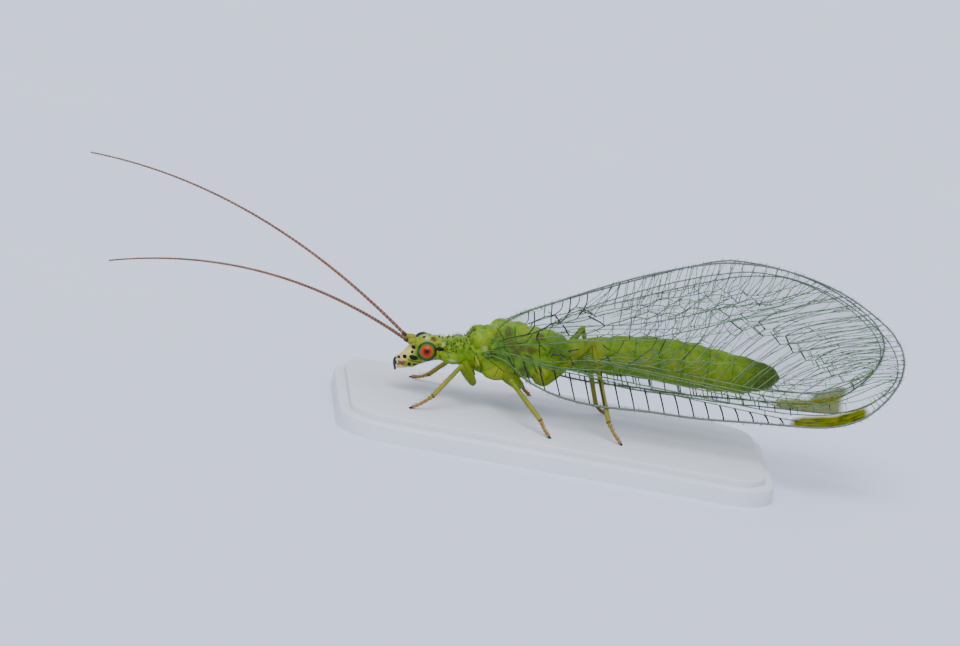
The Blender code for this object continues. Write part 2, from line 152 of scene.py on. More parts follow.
def layer_group():
    """A colour laid over another where a mask passes from low to high, with a ragged edge."""
    given = {"Under": "Color", "Over": "Color", "Mask": "Float", "Low": "Float", "High": "Float"}
    given |= {"Raggedness": "Float", "Edge Scale": "Float"}
    group, given, result = new_group("ragged_layer", given, {"Colour": "Color"})
    place = add_node(group, "ShaderNodeTexCoord").outputs["Object"]
    ragged = noise(group, place, given["Edge Scale"], Detail=3.0)
    mask = scaled_sum(group, ragged, given["Raggedness"], given["Mask"])
    mask = rescale(group, mask, given["Low"], given["High"], "SMOOTHSTEP")
    group.links.new(mix_colours(group, mask, given["Under"], given["Over"]), result["Colour"])
    return group


living_surface = surface_group()
ragged_layer = layer_group()


def new_material(name, **sockets):
    """A Principled material; its sockets are given by their names with _ for a space."""
    made = bpy.data.materials.new(name)
    made.use_nodes = True
    shader = made.node_tree.nodes["Principled BSDF"]
    for socket, value in sockets.items():
        shader.inputs[socket.replace("_", " ")].default_value = value
    return made, made.node_tree, shader


def read_attribute(tree, name):
    return add_node(tree, "ShaderNodeAttribute", attribute_name=name).outputs["Fac"]


def add_relief(tree, shader, height, depth, strength=1.0, invert=False):
    """A shallow relief, its depth in metres, into the Principled shader."""
    inputs = {"Strength": strength, "Distance": depth, "Height": height}
    relief = add_node(tree, "ShaderNodeBump", inputs, invert=invert)
    tree.links.new(relief.outputs["Normal"], shader.inputs["Normal"])


def surface_material(name, colours, patch_scale, amount, grain_scale, roughness, relief, layers=(), **sockets):
    """A material with the shared surface and, over it, layers of colour where the mesh's attributes say."""
    made, tree, shader = new_material(name, **sockets)
    inputs = {"Colour": (*colours[0], 1), "Patch Colour": (*colours[1], 1), "Patch Scale": patch_scale}
    inputs |= {"Patch Amount": amount, "Grain Scale": grain_scale, "Roughness": roughness}
    surface = add_node(tree, "ShaderNodeGroup", inputs, node_tree=living_surface)
    colour = surface.outputs["Colour"]
    for tint, attribute, low, high, edge_scale in layers:
        inputs = {"Under": colour, "Over": (*tint, 1), "Mask": read_attribute(tree, attribute)}
        inputs |= {"Low": low, "High": high, "Edge Scale": edge_scale}
        inputs["Raggedness"] = RAGGEDNESS if edge_scale else 0.0
        colour = add_node(tree, "ShaderNodeGroup", inputs, node_tree=ragged_layer).outputs["Colour"]
    tree.links.new(colour, shader.inputs["Base Color"])
    tree.links.new(surface.outputs["Roughness"], shader.inputs["Roughness"])
    add_relief(tree, shader, surface.outputs["Height"], relief)
    return made


def smooth_object(name, mesh, material, sharp=40):
    """An object at the origin for a finished mesh in metres."""
    mesh.materials.clear()
    mesh.materials.append(material)
    mesh.shade_smooth()
    mesh.set_sharp_from_angle(angle=radians(sharp))
    made = bpy.data.objects.new(name, mesh)
    bpy.context.scene.collection.objects.link(made)
    return made


floor_paint = surface_material(
    "studio_sheet", ((0.612, 0.655, 0.850), (0.668, 0.706, 0.895)), 60, 0.5, 9000, 0.62, 0.000004
)
bm = bmesh.new()
bmesh.ops.create_grid(bm, x_segments=1, y_segments=1, size=2.0)
mesh = bpy.data.meshes.new("studio_floor")
bm.to_mesh(mesh)
bm.free()
smooth_object("studio_floor", mesh, floor_paint)


# Plate. A thin moulded plate, painted pale, with a sheet of card glued on top that the feet stand on.
# It is there because the insect alone would tip back over its hind feet.
PLATE = (15.0, 8.0, 0.6)
PLATE_CORNER = 1.6
CARD_INSET = 0.35
CARD_SUNK = 0.005


def finish_piece(name, bm, material, slot, *replaced, lift=FEET, sharp=40):
    """Scales a millimetre bmesh to metres, lifts it on to the plate and hands it to the frame."""
    bmesh.ops.translate(bm, vec=(0, 0, lift), verts=bm.verts)
    bmesh.ops.scale(bm, vec=(MM, MM, MM), verts=bm.verts)
    mesh = bpy.data.meshes.new(name)
    bm.to_mesh(mesh)
    bm.free()
    made = smooth_object(name, mesh, material, sharp)
    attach(made, "root")
    if replaced:
        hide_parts(*replaced)
    return made


def rounded_slab(bm, size, low, corner, edge):
    """A slab with round corners and a softened rim on top."""
    verts = bmesh.ops.create_cube(bm, size=1)["verts"]
    bmesh.ops.scale(bm, vec=size, verts=verts)
    bmesh.ops.translate(bm, vec=(0, 0, low + size[2] / 2), verts=verts)
    sides = [e for v in verts for e in v.link_edges if abs(e.verts[0].co.z - e.verts[1].co.z) > size[2] / 2]
    bmesh.ops.bevel(
        bm, geom=list(set(sides)), offset=corner, segments=10, profile=0.5, affect="EDGES", material=-1
    )
    top = low + size[2] - 1e-4
    rim = [e for e in bm.edges if all(v.co.z > top for v in e.verts) and len(e.link_faces) == 2]
    rim = [e for e in rim if any(abs(f.normal.z) < 0.5 for f in e.link_faces)]
    bmesh.ops.bevel(bm, geom=rim, offset=edge, segments=3, profile=0.5, affect="EDGES", material=-1)


plate_paint = surface_material(
    "painted_plate", ((0.62, 0.65, 0.74), (0.56, 0.595, 0.69)), 260, 0.6, 5200, 0.5, 0.00002
)
bm = bmesh.new()
rounded_slab(bm, PLATE, 0.0, PLATE_CORNER, 0.10)
finish_piece("painted_plate", bm, plate_paint, "stand_plate", "stand_base", lift=0)

card_paint = surface_material(
    "mounting_card", ((0.60, 0.63, 0.72), (0.56, 0.595, 0.685)), 420, 0.7, 16000, 0.6, 0.00001
)
bm = bmesh.new()
card = (PLATE[0] - 2 * CARD_INSET, PLATE[1] - 2 * CARD_INSET, FEET - PLATE[2] - 0.01)
rounded_slab(bm, card, PLATE[2] - CARD_SUNK, PLATE_CORNER - CARD_INSET, 0.05)
finish_piece("mounting_card", bm, card_paint, "stand_plate", lift=0)


# Body skin. Head, thorax and abdomen are one soft green cuticle over many plates, yellow on the thorax's
# lobes and cream on the face. Its plates are built as lobes that are fused into one skin.
HEAD_LOFT = (
    # place along the body, its top, its underside and its half width there
    (-5.72, 1.16, 1.05, 0.06), (-5.66, 1.22, 0.99, 0.13), (-5.56, 1.34, 0.94, 0.20),
    (-5.46, 1.50, 0.91, 0.25), (-5.36, 1.66, 0.89, 0.29), (-5.22, 1.86, 0.90, 0.35),
    (-5.06, 2.03, 0.97, 0.42), (-4.90, 2.10, 1.07, 0.47), (-4.70, 2.12, 1.18, 0.47),
    (-4.50, 2.09, 1.27, 0.43), (-4.36, 2.07, 1.31, 0.37), (-4.22, 2.06, 1.34, 0.34),
    (-4.10, 2.00, 1.40, 0.24), (-4.06, 1.80, 1.60, 0.06),
)
THORAX_LOFT = (
    (-4.44, 1.80, 1.60, 0.06), (-4.40, 2.02, 1.40, 0.26), (-4.30, 2.10, 1.33, 0.37),
    (-4.16, 2.15, 1.31, 0.45), (-3.95, 2.19, 1.30, 0.50), (-3.70, 2.24, 1.29, 0.52),
    (-3.50, 2.28, 1.29, 0.51), (-3.38, 2.36, 1.27, 0.49), (-3.26, 2.50, 1.24, 0.52),
    (-3.05, 2.66, 1.20, 0.60), (-2.80, 2.82, 1.14, 0.68), (-2.50, 2.97, 1.10, 0.74),
    (-2.10, 3.07, 1.09, 0.76), (-1.75, 3.05, 1.14, 0.72), (-1.45, 2.96, 1.24, 0.66),
    (-1.10, 2.93, 1.28, 0.64), (-0.70, 2.98, 1.34, 0.60), (-0.35, 2.95, 1.52, 0.54),
    (-0.12, 2.80, 1.70, 0.40), (0.0, 2.4, 2.2, 0.06),
)
LOBES = (
    # centre, half size, blunt, for the middle or the right of each pair
    ((-5.24, 0.19, 1.78), (0.15, 0.15, 0.14), 2.0),
    ((-5.12, 0.31, 1.30), (0.24, 0.14, 0.20), 2.2),
    ((-5.26, 0.17, 1.05), (0.26, 0.13, 0.13), 2.0),
    ((-4.46, 0.16, 1.92), (0.22, 0.26, 0.19), 2.0),
    ((-4.44, 0.24, 1.62), (0.20, 0.22, 0.26), 2.0),
    ((-4.08, 0.24, 1.86), (0.20, 0.29, 0.27), 2.2),
    ((-3.74, 0.28, 1.92), (0.24, 0.29, 0.33), 2.2),
    ((-3.92, 0.36, 1.56), (0.40, 0.18, 0.24), 2.2),
    ((-3.46, 0.26, 1.88), (0.14, 0.28, 0.42), 2.2),
    ((-3.28, 0.34, 1.98), (0.13, 0.28, 0.46), 2.2),
    ((-3.04, 0.34, 2.34), (0.42, 0.36, 0.36), 2.1),
    ((-2.76, 0, 2.60), (0.36, 0.26, 0.25), 2.0),
    ((-2.34, 0.38, 2.74), (0.42, 0.34, 0.30), 2.1),
    ((-1.84, 0, 2.92), (0.34, 0.30, 0.20), 2.2),
    ((-3.02, 0.46, 1.80), (0.20, 0.22, 0.34), 2.2),
    ((-3.04, 0.57, 1.62), (0.09, 0.09, 0.22), 2.0),
    ((-2.64, 0.60, 1.74), (0.30, 0.20, 0.38), 2.2),
    ((-2.36, 0.48, 1.42), (0.50, 0.28, 0.35), 2.2),
    ((-2.12, 0.66, 2.12), (0.30, 0.16, 0.26), 2.0),
    ((-2.62, 0.74, 2.28), (0.20, 0.14, 0.18), 2.0),
    ((-1.80, 0.58, 1.66), (0.30, 0.18, 0.38), 2.2),
    ((-1.56, 0.62, 2.24), (0.24, 0.14, 0.26), 2.0),
    ((-1.22, 0.32, 2.74), (0.34, 0.28, 0.24), 2.1),
    ((-0.78, 0, 2.86), (0.26, 0.26, 0.18), 2.0),
    ((-1.16, 0.50, 1.86), (0.28, 0.18, 0.38), 2.2),
    ((-0.82, 0.44, 1.56), (0.38, 0.24, 0.30), 2.2),
    ((-0.90, 0.58, 2.46), (0.22, 0.14, 0.20), 2.0),
)
ABDOMEN = {"from": -0.40, "to": 7.26, "segments": 9, "swell": 0.055, "waist": 0.035, "width": 0.96}
ABDOMEN_FOLD = {"depth": 0.06, "level": -0.30, "half": 0.12}
ABDOMEN_STATIONS = (
    # share of the length, height of the middle and radius there
    (0.00, 2.22, 0.44), (0.10, 2.36, 0.56), (0.26, 2.56, 0.66), (0.40, 2.70, 0.71), (0.56, 2.72, 0.735),
    (0.70, 2.68, 0.69), (0.84, 2.68, 0.61), (0.92, 2.74, 0.48), (0.97, 2.78, 0.32), (1.00, 2.80, 0.06),
)
SKIN_VOXEL = 0.032


def add_lobe(bm, centre, half, blunt):
    """An ellipsoid with its poles on X, squared a little at its ends when blunt is above 2."""
    verts = bmesh.ops.create_uvsphere(bm, u_segments=28, v_segments=18, radius=1)["verts"]
    for vert in verts:
        across = hypot(vert.co.x, vert.co.y)
        if across > 1e-6:
            widen = across ** (2 / blunt) / across
            vert.co.x *= widen
            vert.co.y *= widen
        vert.co.z = abs(vert.co.z) ** (2 / blunt) * (1 if vert.co.z > 0 else -1)
    bmesh.ops.rotate(bm, matrix=Matrix.Rotation(pi / 2, 3, "Y"), verts=verts)
    bmesh.ops.scale(bm, vec=half, verts=verts)
    bmesh.ops.translate(bm, vec=centre, verts=verts)


def between(stations, t, column):
    """Value of a column at t, on a straight line between its stations."""
    for low, high in zip(stations, stations[1:]):
        if t <= high[0]:
            share = (t - low[0]) / (high[0] - low[0])
            return low[column] + (high[column] - low[column]) * share
    return stations[-1][column]


def add_abdomen(bm):
    """A soft bag of nine rings: each ring swells and is drawn in where the next begins."""
    length = ABDOMEN["to"] - ABDOMEN["from"]
    verts = bmesh.ops.create_uvsphere(bm, u_segments=48, v_segments=150, radius=1)["verts"]
    bmesh.ops.rotate(bm, matrix=Matrix.Rotation(pi / 2, 3, "Y"), verts=verts)
    for vert in verts:
        t = min(max((vert.co.x + 1) / 2, 0.0), 1.0)
        across = hypot(vert.co.y, vert.co.z)
        phase = (t * ABDOMEN["segments"]) % 1
        waist = ABDOMEN["waist"] * max(1 - min(phase, 1 - phase) / 0.08, 0)
        swell = 1 + ABDOMEN["swell"] * sin(pi * phase) - waist
        radius = between(ABDOMEN_STATIONS, t, 2) * swell
        if across > 1e-6:
            side = abs(vert.co.y) / across
            level = vert.co.z / across
            fold = max(1 - abs(level - ABDOMEN_FOLD["level"]) / ABDOMEN_FOLD["half"], 0)
            crease = 1 - ABDOMEN_FOLD["depth"] * fold * side
            vert.co.y *= radius * crease / across * ABDOMEN["width"]
            vert.co.z *= radius * crease / across
        vert.co.x = ABDOMEN["from"] + t * length
        vert.co.z += between(ABDOMEN_STATIONS, t, 1)


def add_loft(bm, stations):
    """A bag along X whose sections are blunt ovals with the given tops, undersides and half widths."""
    blunt = 2.5
    first, last = stations[0][0], stations[-1][0]
    verts = bmesh.ops.create_uvsphere(bm, u_segments=36, v_segments=60, radius=1)["verts"]
    for vert in verts:
        t = 1 - acos(min(max(vert.co.z, -1), 1)) / pi
        x = first + (last - first) * t
        across = hypot(vert.co.x, vert.co.y)
        if across > 1e-6:
            side, level = vert.co.y / across, -vert.co.x / across
            swell = (abs(side) ** blunt + abs(level) ** blunt) ** (-1 / blunt)
        else:
            side = level = swell = 0
        top, low, half = (between(stations, x, column) for column in (1, 2, 3))
        vert.co = (x, side * swell * half, (top + low) / 2 + level * swell * (top - low) / 2)


bm = bmesh.new()
add_loft(bm, HEAD_LOFT)
add_loft(bm, THORAX_LOFT)
for centre, half, blunt in LOBES:
    add_lobe(bm, centre, half, blunt)
    if centre[1]:
        add_lobe(bm, (centre[0], -centre[1], centre[2]), half, blunt)
add_abdomen(bm)
mesh = bpy.data.meshes.new("fused_lobes")
bm.to_mesh(mesh)
bm.free()
fused = bpy.data.objects.new("fused_lobes", mesh)
bpy.context.scene.collection.objects.link(fused)
remesh = fused.modifiers.new("fuse", "REMESH")
remesh.mode = "VOXEL"
remesh.voxel_size = SKIN_VOXEL
soften = fused.modifiers.new("soften", "SMOOTH")
soften.factor = 0.5
soften.iterations = 5
graph = bpy.context.evaluated_depsgraph_get()
bm = bmesh.new()
bm.from_mesh(fused.evaluated_get(graph).to_mesh())
bpy.data.objects.remove(fused, do_unlink=True)

# Marks on the skin: centre and half size, on both sides alike
DARK_MARKS = (
    ((-5.26, 0.34, 1.66), (0.11, 0.16, 0.085)),
    ((-5.26, 0.36, 1.50), (0.065, 0.14, 0.065)),
    ((-5.18, 0.40, 1.33), (0.20, 0.18, 0.105)),
    ((-5.47, 0.24, 1.27), (0.10, 0.15, 0.085)),
    ((-4.36, 0.42, 1.78), (0.17, 0.18, 0.085)),
    ((-4.96, 0.20, 2.08), (0.09, 0.10, 0.08)),
    ((-5.27, 0.28, 1.05), (0.075, 0.14, 0.075)),
    ((-5.09, 0.32, 1.08), (0.10, 0.14, 0.050)),
    ((-5.66, 0.12, 1.19), (0.09, 0.10, 0.06)),
)
SPECKLED = (((-3.98, 0.46, 1.94), (0.46, 0.44, 0.36)), ((-3.66, 0.30, 2.12), (0.40, 0.44, 0.28)))
YELLOW_MARKS = (
    ((-5.10, 0.30, 1.18), (0.50, 0.40, 0.30)),
    ((-4.85, 0.10, 2.00), (0.62, 0.60, 0.42)),
    ((-5.22, 0.20, 1.84), (0.24, 0.24, 0.24)),
    ((-4.48, 0.34, 1.62), (0.26, 0.24, 0.34)),
    ((-3.04, 0.44, 2.36), (0.40, 0.34, 0.34)),
    ((-2.38, 0.60, 1.42), (0.55, 0.34, 0.36)),
    ((-3.04, 0.62, 1.64), (0.16, 0.16, 0.30)),
    ((-2.52, 0.50, 2.72), (0.30, 0.30, 0.26)),
    ((-1.64, 0.40, 3.00), (0.32, 0.40, 0.24)),
    ((-0.85, 0.56, 1.56), (0.44, 0.30, 0.34)),
)
BROWN_MARKS = (
    ((-2.22, 0.62, 2.86), (0.19, 0.40, 0.30)),
    ((-2.05, 0.70, 2.47), (0.26, 0.40, 0.26)),
    ((-1.84, 0.70, 2.20), (0.26, 0.40, 0.20)),
    ((-1.08, 0.60, 2.88), (0.26, 0.40, 0.20)),
    ((-1.66, 0.70, 2.40), (0.20, 0.34, 0.18)),
    ((-1.36, 0.64, 2.38), (0.34, 0.28, 0.18)),
    ((-1.70, 0.50, 1.34), (0.18, 0.30, 0.12)),
    ((-0.95, 0.56, 1.46), (0.26, 0.24, 0.16)),
    ((-1.52, 0.60, 1.66), (0.20, 0.24, 0.16)),
    ((-4.60, 0.26, 2.04), (0.18, 0.20, 0.14)),
)
CREAM_MARKS = (((-5.42, 0.14, 1.48), (0.36, 0.50, 0.44)), ((-5.56, 0.20, 1.20), (0.30, 0.30, 0.20)))
# Painted highlight: pale patches on the head's top, the neck shield and the flank
PAINTED_HIGHLIGHTS = (
    ((-4.28, 0.34, 1.96), (0.12, 0.30, 0.24)),
    ((-4.88, 0.20, 2.04), (0.24, 0.30, 0.12)),
    ((-3.90, 0.50, 1.50), (0.30, 0.20, 0.08)),
    ((-2.90, 0.66, 2.16), (0.20, 0.20, 0.14)),
)
# Yellow patch on each ring of the abdomen: its middle and half size, as a share of the ring and in height
RING_PATCH = {"middle": 0.55, "half": 0.42, "level": 2.62, "half height": 0.34, "off the middle": 0.25}
# Shares of the abdomen's length, heights or shares of a ring: where each shade starts and over what it grows
ABDOMEN_BARE_FROM = 0.06
LAST_PATCHES = (0.86, -0.15)
DARK_TAIL = (0.74, 0.24)
# Painted shade under the abdomen: it darkens below this height
BELLY_SHADE = (2.30, -0.5)
DARK_SEAM = (0.06, -0.06)
# Grooves and ridges on the flank: corners (along, height), half width and height; the grooves are also darkened
# with painted shade
CREASES = (
    (((-3.16, 1.90), (-2.98, 1.68), (-2.86, 1.46), (-2.84, 1.20)), 0.034, -0.030),
    (((-3.20, 1.84), (-3.14, 1.64), (-2.98, 1.46)), 0.026, -0.020),
    (((-2.84, 1.90), (-2.35, 1.62), (-1.77, 1.30)), 0.036, -0.035),
    (((-2.31, 1.56), (-2.40, 1.24)), 0.030, -0.025),
    (((-2.54, 1.12), (-2.20, 1.10), (-1.90, 1.20)), 0.045, -0.020),
    (((-2.60, 2.20), (-2.30, 2.32), (-1.90, 2.06), (-1.80, 1.70), (-1.70, 1.40)), 0.044, -0.040),
    (((-2.56, 2.84), (-2.34, 2.58), (-2.24, 2.30)), 0.044, -0.045),
    (((-2.00, 3.00), (-1.96, 2.70), (-1.86, 2.50), (-1.54, 2.60), (-1.40, 2.84)), 0.044, -0.040),
    (((-1.54, 2.20), (-1.30, 2.12), (-1.08, 1.76), (-0.94, 1.56)), 0.050, -0.030),
    (((-1.20, 2.80), (-1.08, 2.60), (-0.84, 2.46)), 0.050, -0.035),
    (((-1.36, 1.70), (-1.16, 1.40)), 0.045, -0.025),
    (((-0.90, 1.80), (-0.66, 1.44)), 0.045, -0.025),
    (((-4.44, 1.96), (-4.38, 1.66), (-4.26, 1.42)), 0.028, -0.020),
    (((-4.20, 2.06), (-4.12, 1.78), (-3.98, 1.48)), 0.026, -0.020),
    (((-5.36, 1.22), (-5.10, 1.20), (-4.88, 1.20)), 0.040, -0.020),
)
# The ridges are also painted pale along their tops as painted highlight
RIDGES = (
    (((-3.58, 2.40), (-3.40, 2.14), (-3.20, 1.96)), 0.045, 0.035),
    (((-3.17, 1.80), (-3.07, 1.66), (-2.97, 1.52)), 0.075, 0.030),
    (((-4.14, 1.80), (-3.96, 1.64), (-3.60, 1.50)), 0.060, 0.015),
    (((-2.96, 2.04), (-2.60, 2.00), (-2.20, 1.90), (-1.80, 1.84)), 0.055, 0.030),
)


def fade(values, start, over):
    """A share that grows from 0 at start to 1 when over has been added to it."""
    return np.clip((values - start) / over, 0, 1)


def line_field(points, lines):
    """How deep each flank point lies in the nearest line, and the rise that the lines give it there."""
    depth, rise = np.zeros(len(points)), np.zeros(len(points))
    flank = fade(np.abs(points[:, 1]), 0.20, 0.15)
    flat = points[:, (0, 2)]
    for corners, half, height in lines:
        near = np.zeros(len(points))
        for low, high in zip(corners, corners[1:]):
            low, high = np.array(low), np.array(high)
            share = np.clip((flat - low) @ (high - low) / ((high - low) @ (high - low)), 0, 1)
            away = np.linalg.norm(flat - low - share[:, None] * (high - low), axis=1)
            near = np.maximum(near, 1 - away / half)
        near = np.clip(near, 0, 1) * flank
        rise = np.where(near > depth, near * height, rise)
        depth = np.maximum(depth, near)
    return depth, rise


def mark_field(points, marks):
    """How deep each point lies in the nearest mark: 1 at its middle and 0 at its rim or beyond."""
    depth = np.zeros(len(points))
    both = points * (1, 0, 1) + np.abs(points) * (0, 1, 0)
    for centre, half in marks:
        away = np.linalg.norm((both - centre) / half, axis=1)
        depth = np.maximum(depth, 1 - away)
    return depth


def set_attribute(mesh, name, values):
    """One number for each point of the mesh, for a material to read."""
    mesh.attributes.new(name, "FLOAT", "POINT").data.foreach_set("value", values.astype(np.float32))


def mesh_points(mesh):
    """The mesh's points in millimetres above the feet."""
    flat = np.zeros(len(mesh.vertices) * 3)
    mesh.vertices.foreach_get("co", flat)
    return flat.reshape(-1, 3) / MM - (0, 0, FEET)


skin_paint = surface_material(
    "green_cuticle", ((0.062, 0.172, 0.001), (0.184, 0.302, 0.004)), 3400, 0.9, 26000, 0.34, 0.000012,
    (
        ((0.215, 0.272, 0.006), "yellow", 0.15, 0.95, 5000),
        # Dark tail, dark ring seams, a little darkening all over and painted shade under the abdomen
        ((0.020, 0.052, 0.001), "deep", 0.25, 1.05, 9500),
        # Painted highlight on the pale patches and along the ridges
        ((0.34, 0.39, 0.13), "pale", 0.40, 1.1, 6000),
        ((0.54, 0.49, 0.14), "cream", 0.35, 0.95, 7000),
        ((0.080, 0.066, 0.002), "brown", 0.30, 0.95, 6500),
        # Painted shade in the grooves of the flank
        ((0.022, 0.036, 0.001), "seam", 0.55, 1.15, 12000),
        ((0.012, 0.026, 0.002), "speckle", 0.70, 0.80, 19000),
        ((0.003, 0.002, 0.002), "dark", 0.42, 0.56, 14000),
    ),
    Subsurface_Weight=0.25, Subsurface_Radius=(0.00020, 0.00030, 0.00006), Subsurface_Scale=1.0,
    Specular_IOR_Level=0.20,
)

bm.verts.ensure_lookup_table()
bm.normal_update()
points = np.array([vert.co for vert in bm.verts])
rises = line_field(points, CREASES)[1] + line_field(points, RIDGES)[1]
for vert, rise in zip(bm.verts, rises):
    if rise:
        vert.co += vert.normal * float(rise)

skin = finish_piece(
    "body_skin", bm, skin_paint, "green_cuticle",
    "head", "prothorax", "mesothorax", "metathorax", "abdomen", sharp=180,
)
points = mesh_points(skin.data)
along, beside, height = points.T
share = (along - ABDOMEN["from"]) / (ABDOMEN["to"] - ABDOMEN["from"])
ring = (share * ABDOMEN["segments"]) % 1
on_abdomen = share > ABDOMEN_BARE_FROM
patches = 1 - np.abs(ring - RING_PATCH["middle"]) / RING_PATCH["half"]
patches *= np.exp(-(((height - RING_PATCH["level"]) / RING_PATCH["half height"]) ** 2))
patches *= (np.abs(beside) > RING_PATCH["off the middle"]) * on_abdomen * fade(share, *LAST_PATCHES)
tail = fade(share, *DARK_TAIL) * 0.85
# Painted shade: the abdomen darkens towards its underside
painted_belly_shade = fade(height, *BELLY_SHADE) * on_abdomen * 0.45
seams = fade(np.minimum(ring, 1 - ring), *DARK_SEAM) * on_abdomen * 0.45
for name, depth in {
    "yellow": np.maximum(mark_field(points, YELLOW_MARKS) * 1.4, patches * 0.75),
    "deep": np.maximum(np.maximum(np.maximum(tail, painted_belly_shade), seams), 0.10),
    "dark": mark_field(points, DARK_MARKS),
    "speckle": np.clip(mark_field(points, SPECKLED) * 2.5, 0, 1) * 0.42,
    # Painted shade inside the grooves of the flank
    "seam": line_field(points, CREASES)[0],
    # Painted highlight: pale patches, and the tops of the ridges
    "pale": np.maximum(mark_field(points, PAINTED_HIGHLIGHTS), line_field(points, RIDGES)[0] * 0.38),
    "brown": mark_field(points, BROWN_MARKS),
    "cream": mark_field(points, CREAM_MARKS),
}.items():
    set_attribute(skin.data, name, depth)


# Compound eyes. Each is a clear dome over hundreds of facets, green near the rim, with a painted sheen of
# copper red round a dark middle on the side that faces the camera, set in a shallow socket of the head.
SIDES = {"left": -1, "right": 1}  # which way each side lies along Y
EYES = {"left": (-4.79, -0.56, 1.66), "right": (-4.89, 0.56, 1.70)}
EYE_HALF = (0.335, 0.35, 0.335)
# The painted sheen centres on this way, which points from the left eye towards the camera and is mirrored for
# the right eye
EYE_SHEEN_WAY = (-0.102, 0.967, 0.233)
EYE_SHEEN_COLOURS = (
    # distance from the middle of the painted sheen as a share of the dome, colour
    (0.00, (0.010, 0.001, 0.001)),
    (0.16, (0.030, 0.002, 0.001)),
    (0.32, (0.210, 0.010, 0.003)),
    (0.52, (0.370, 0.044, 0.006)),
    (0.64, (0.220, 0.070, 0.003)),
    (0.70, (0.035, 0.115, 0.006)),
    (0.83, (0.009, 0.040, 0.004)),
    (0.92, (0.002, 0.007, 0.002)),
)
FACET = 0.020


def colour_ramp(tree, value, stops, moved=0.0):
    """Colours that follow each other as a value rises; each stop is a position and a colour."""
    ramp = add_node(tree, "ShaderNodeValToRGB", {"Fac": value})
    made = ramp.color_ramp.elements
    while len(made) < len(stops):
        made.new(0.5)
    for stop, (position, tint) in zip(made, stops):
        stop.position = position + moved
        stop.color = (*tint, 1)
    return ramp.outputs["Color"]


eye_glass, tree, shader = new_material("faceted_eye", Roughness=0.22, Specular_IOR_Level=0.18)
place = add_node(tree, "ShaderNodeTexCoord").outputs["Object"]
# The eye's colour is a painted sheen, set by each point's distance from the middle that faces the camera
stirred = scaled_sum(tree, noise(tree, place, 5000, Detail=2.0), 0.10, read_attribute(tree, "from_sheen_middle"))
tree.links.new(colour_ramp(tree, stirred, EYE_SHEEN_COLOURS, 0.05), shader.inputs["Base Color"])
facets = add_node(tree, "ShaderNodeTexVoronoi", {"Vector": place, "Scale": 1 / (FACET * MM)})
add_relief(tree, shader, facets.outputs["Distance"], 0.000004, 0.5, True)
for word, side in SIDES.items():
    bm = bmesh.new()
    bmesh.ops.create_uvsphere(bm, u_segments=48, v_segments=32, radius=1)
    bmesh.ops.rotate(bm, matrix=Matrix.Rotation(pi / 2, 3, "X"), verts=bm.verts)
    bmesh.ops.scale(bm, vec=EYE_HALF, verts=bm.verts)
    bmesh.ops.translate(bm, vec=EYES[word], verts=bm.verts)
    eye = finish_piece(f"compound_eye_{word}", bm, eye_glass, "eye", f"eye_{word}", sharp=180)
    ways = (mesh_points(eye.data) - EYES[word]) / EYE_HALF
    facing = ways @ (EYE_SHEEN_WAY * np.array((1, side, 1)))
    set_attribute(eye.data, "from_sheen_middle", np.where(facing > 0, np.sqrt(np.clip(1 - facing**2, 0, 1)), 1))


# Mouthparts. Two jaws that darken to their tips, and two pairs of jointed palps that hang from the mouth.
# They are stiff tubes of cuticle, cream with the end joints of the upper palps black.
ROUND_END = 0.6  # how far a tube's ends stand out, as a share of its radius there


def tag_layer(bm):
    """The number at each point that says which colour it takes."""
    return bm.verts.layers.float.get("tag") or bm.verts.layers.float.new("tag")


def add_tube(bm, points, radii, sides=8, tag=0.0):
    """A closed tube with round ends along a path; a pair of tags runs from one to the other along it."""
    layer = tag_layer(bm)
    rings = len(points)
    made = bmesh.ops.create_uvsphere(bm, u_segments=sides, v_segments=rings + 1, radius=1)["verts"]
    tangents = []
    for index in range(rings):
        ahead, behind = points[min(index + 1, rings - 1)], points[max(index - 1, 0)]
        tangents.append((ahead - behind).normalized())
    turns = [tangents[0].to_track_quat("Z", "X")]
    for before, after in zip(tangents, tangents[1:]):
        turns.append(before.rotation_difference(after) @ turns[-1])
    first, last = tag if isinstance(tag, tuple) else (tag, tag)
    for vert in made:
        ring = round(acos(min(max(vert.co.z, -1), 1)) / pi * (rings + 1))
        index = min(max(ring - 1, 0), rings - 1)
        if ring == 0:
            offset = Vector((0, 0, -radii[0] * ROUND_END))
        elif ring == rings + 1:
            offset = Vector((0, 0, radii[-1] * ROUND_END))
        else:
            offset = Vector((vert.co.x, vert.co.y, 0)).normalized() * radii[index]
        vert.co = points[index] + turns[index] @ offset
        vert[layer] = first + (last - first) * index / max(rings - 1, 1)
    bmesh.ops.reverse_faces(bm, faces=list({face for vert in made for face in vert.link_faces}))


def pour(bm, small):
    """Adds a small bmesh to a large one and frees it."""
    scratch = bpy.data.meshes.new("scratch")
    small.to_mesh(scratch)
    small.free()
    bm.from_mesh(scratch)
    bpy.data.meshes.remove(scratch)


def smooth_path(corners, steps):
    """A curve through the corners, with the given number of steps between each two."""
    ends = [corners[0] * 2 - corners[1], *corners, corners[-1] * 2 - corners[-2]]
    path = [corners[0]]
    for p0, p1, p2, p3 in zip(ends, ends[1:], ends[2:], ends[3:]):
        for step in range(1, steps + 1):
            t = step / steps
            bend, twist = p0 * 2 - p1 * 5 + p2 * 4 - p3, p1 * 3 - p0 - p2 * 3 + p3
            path.append((p1 * 2 + (p2 - p0) * t + bend * t**2 + twist * t**3) * 0.5)
    return path


def on_side(point, side):
    return Vector((point[0], side * point[1], point[2]))


def stretch(low, high, shares):
    """Points at the given shares of the way from low to high."""
    return [low.lerp(high, share) for share in shares]


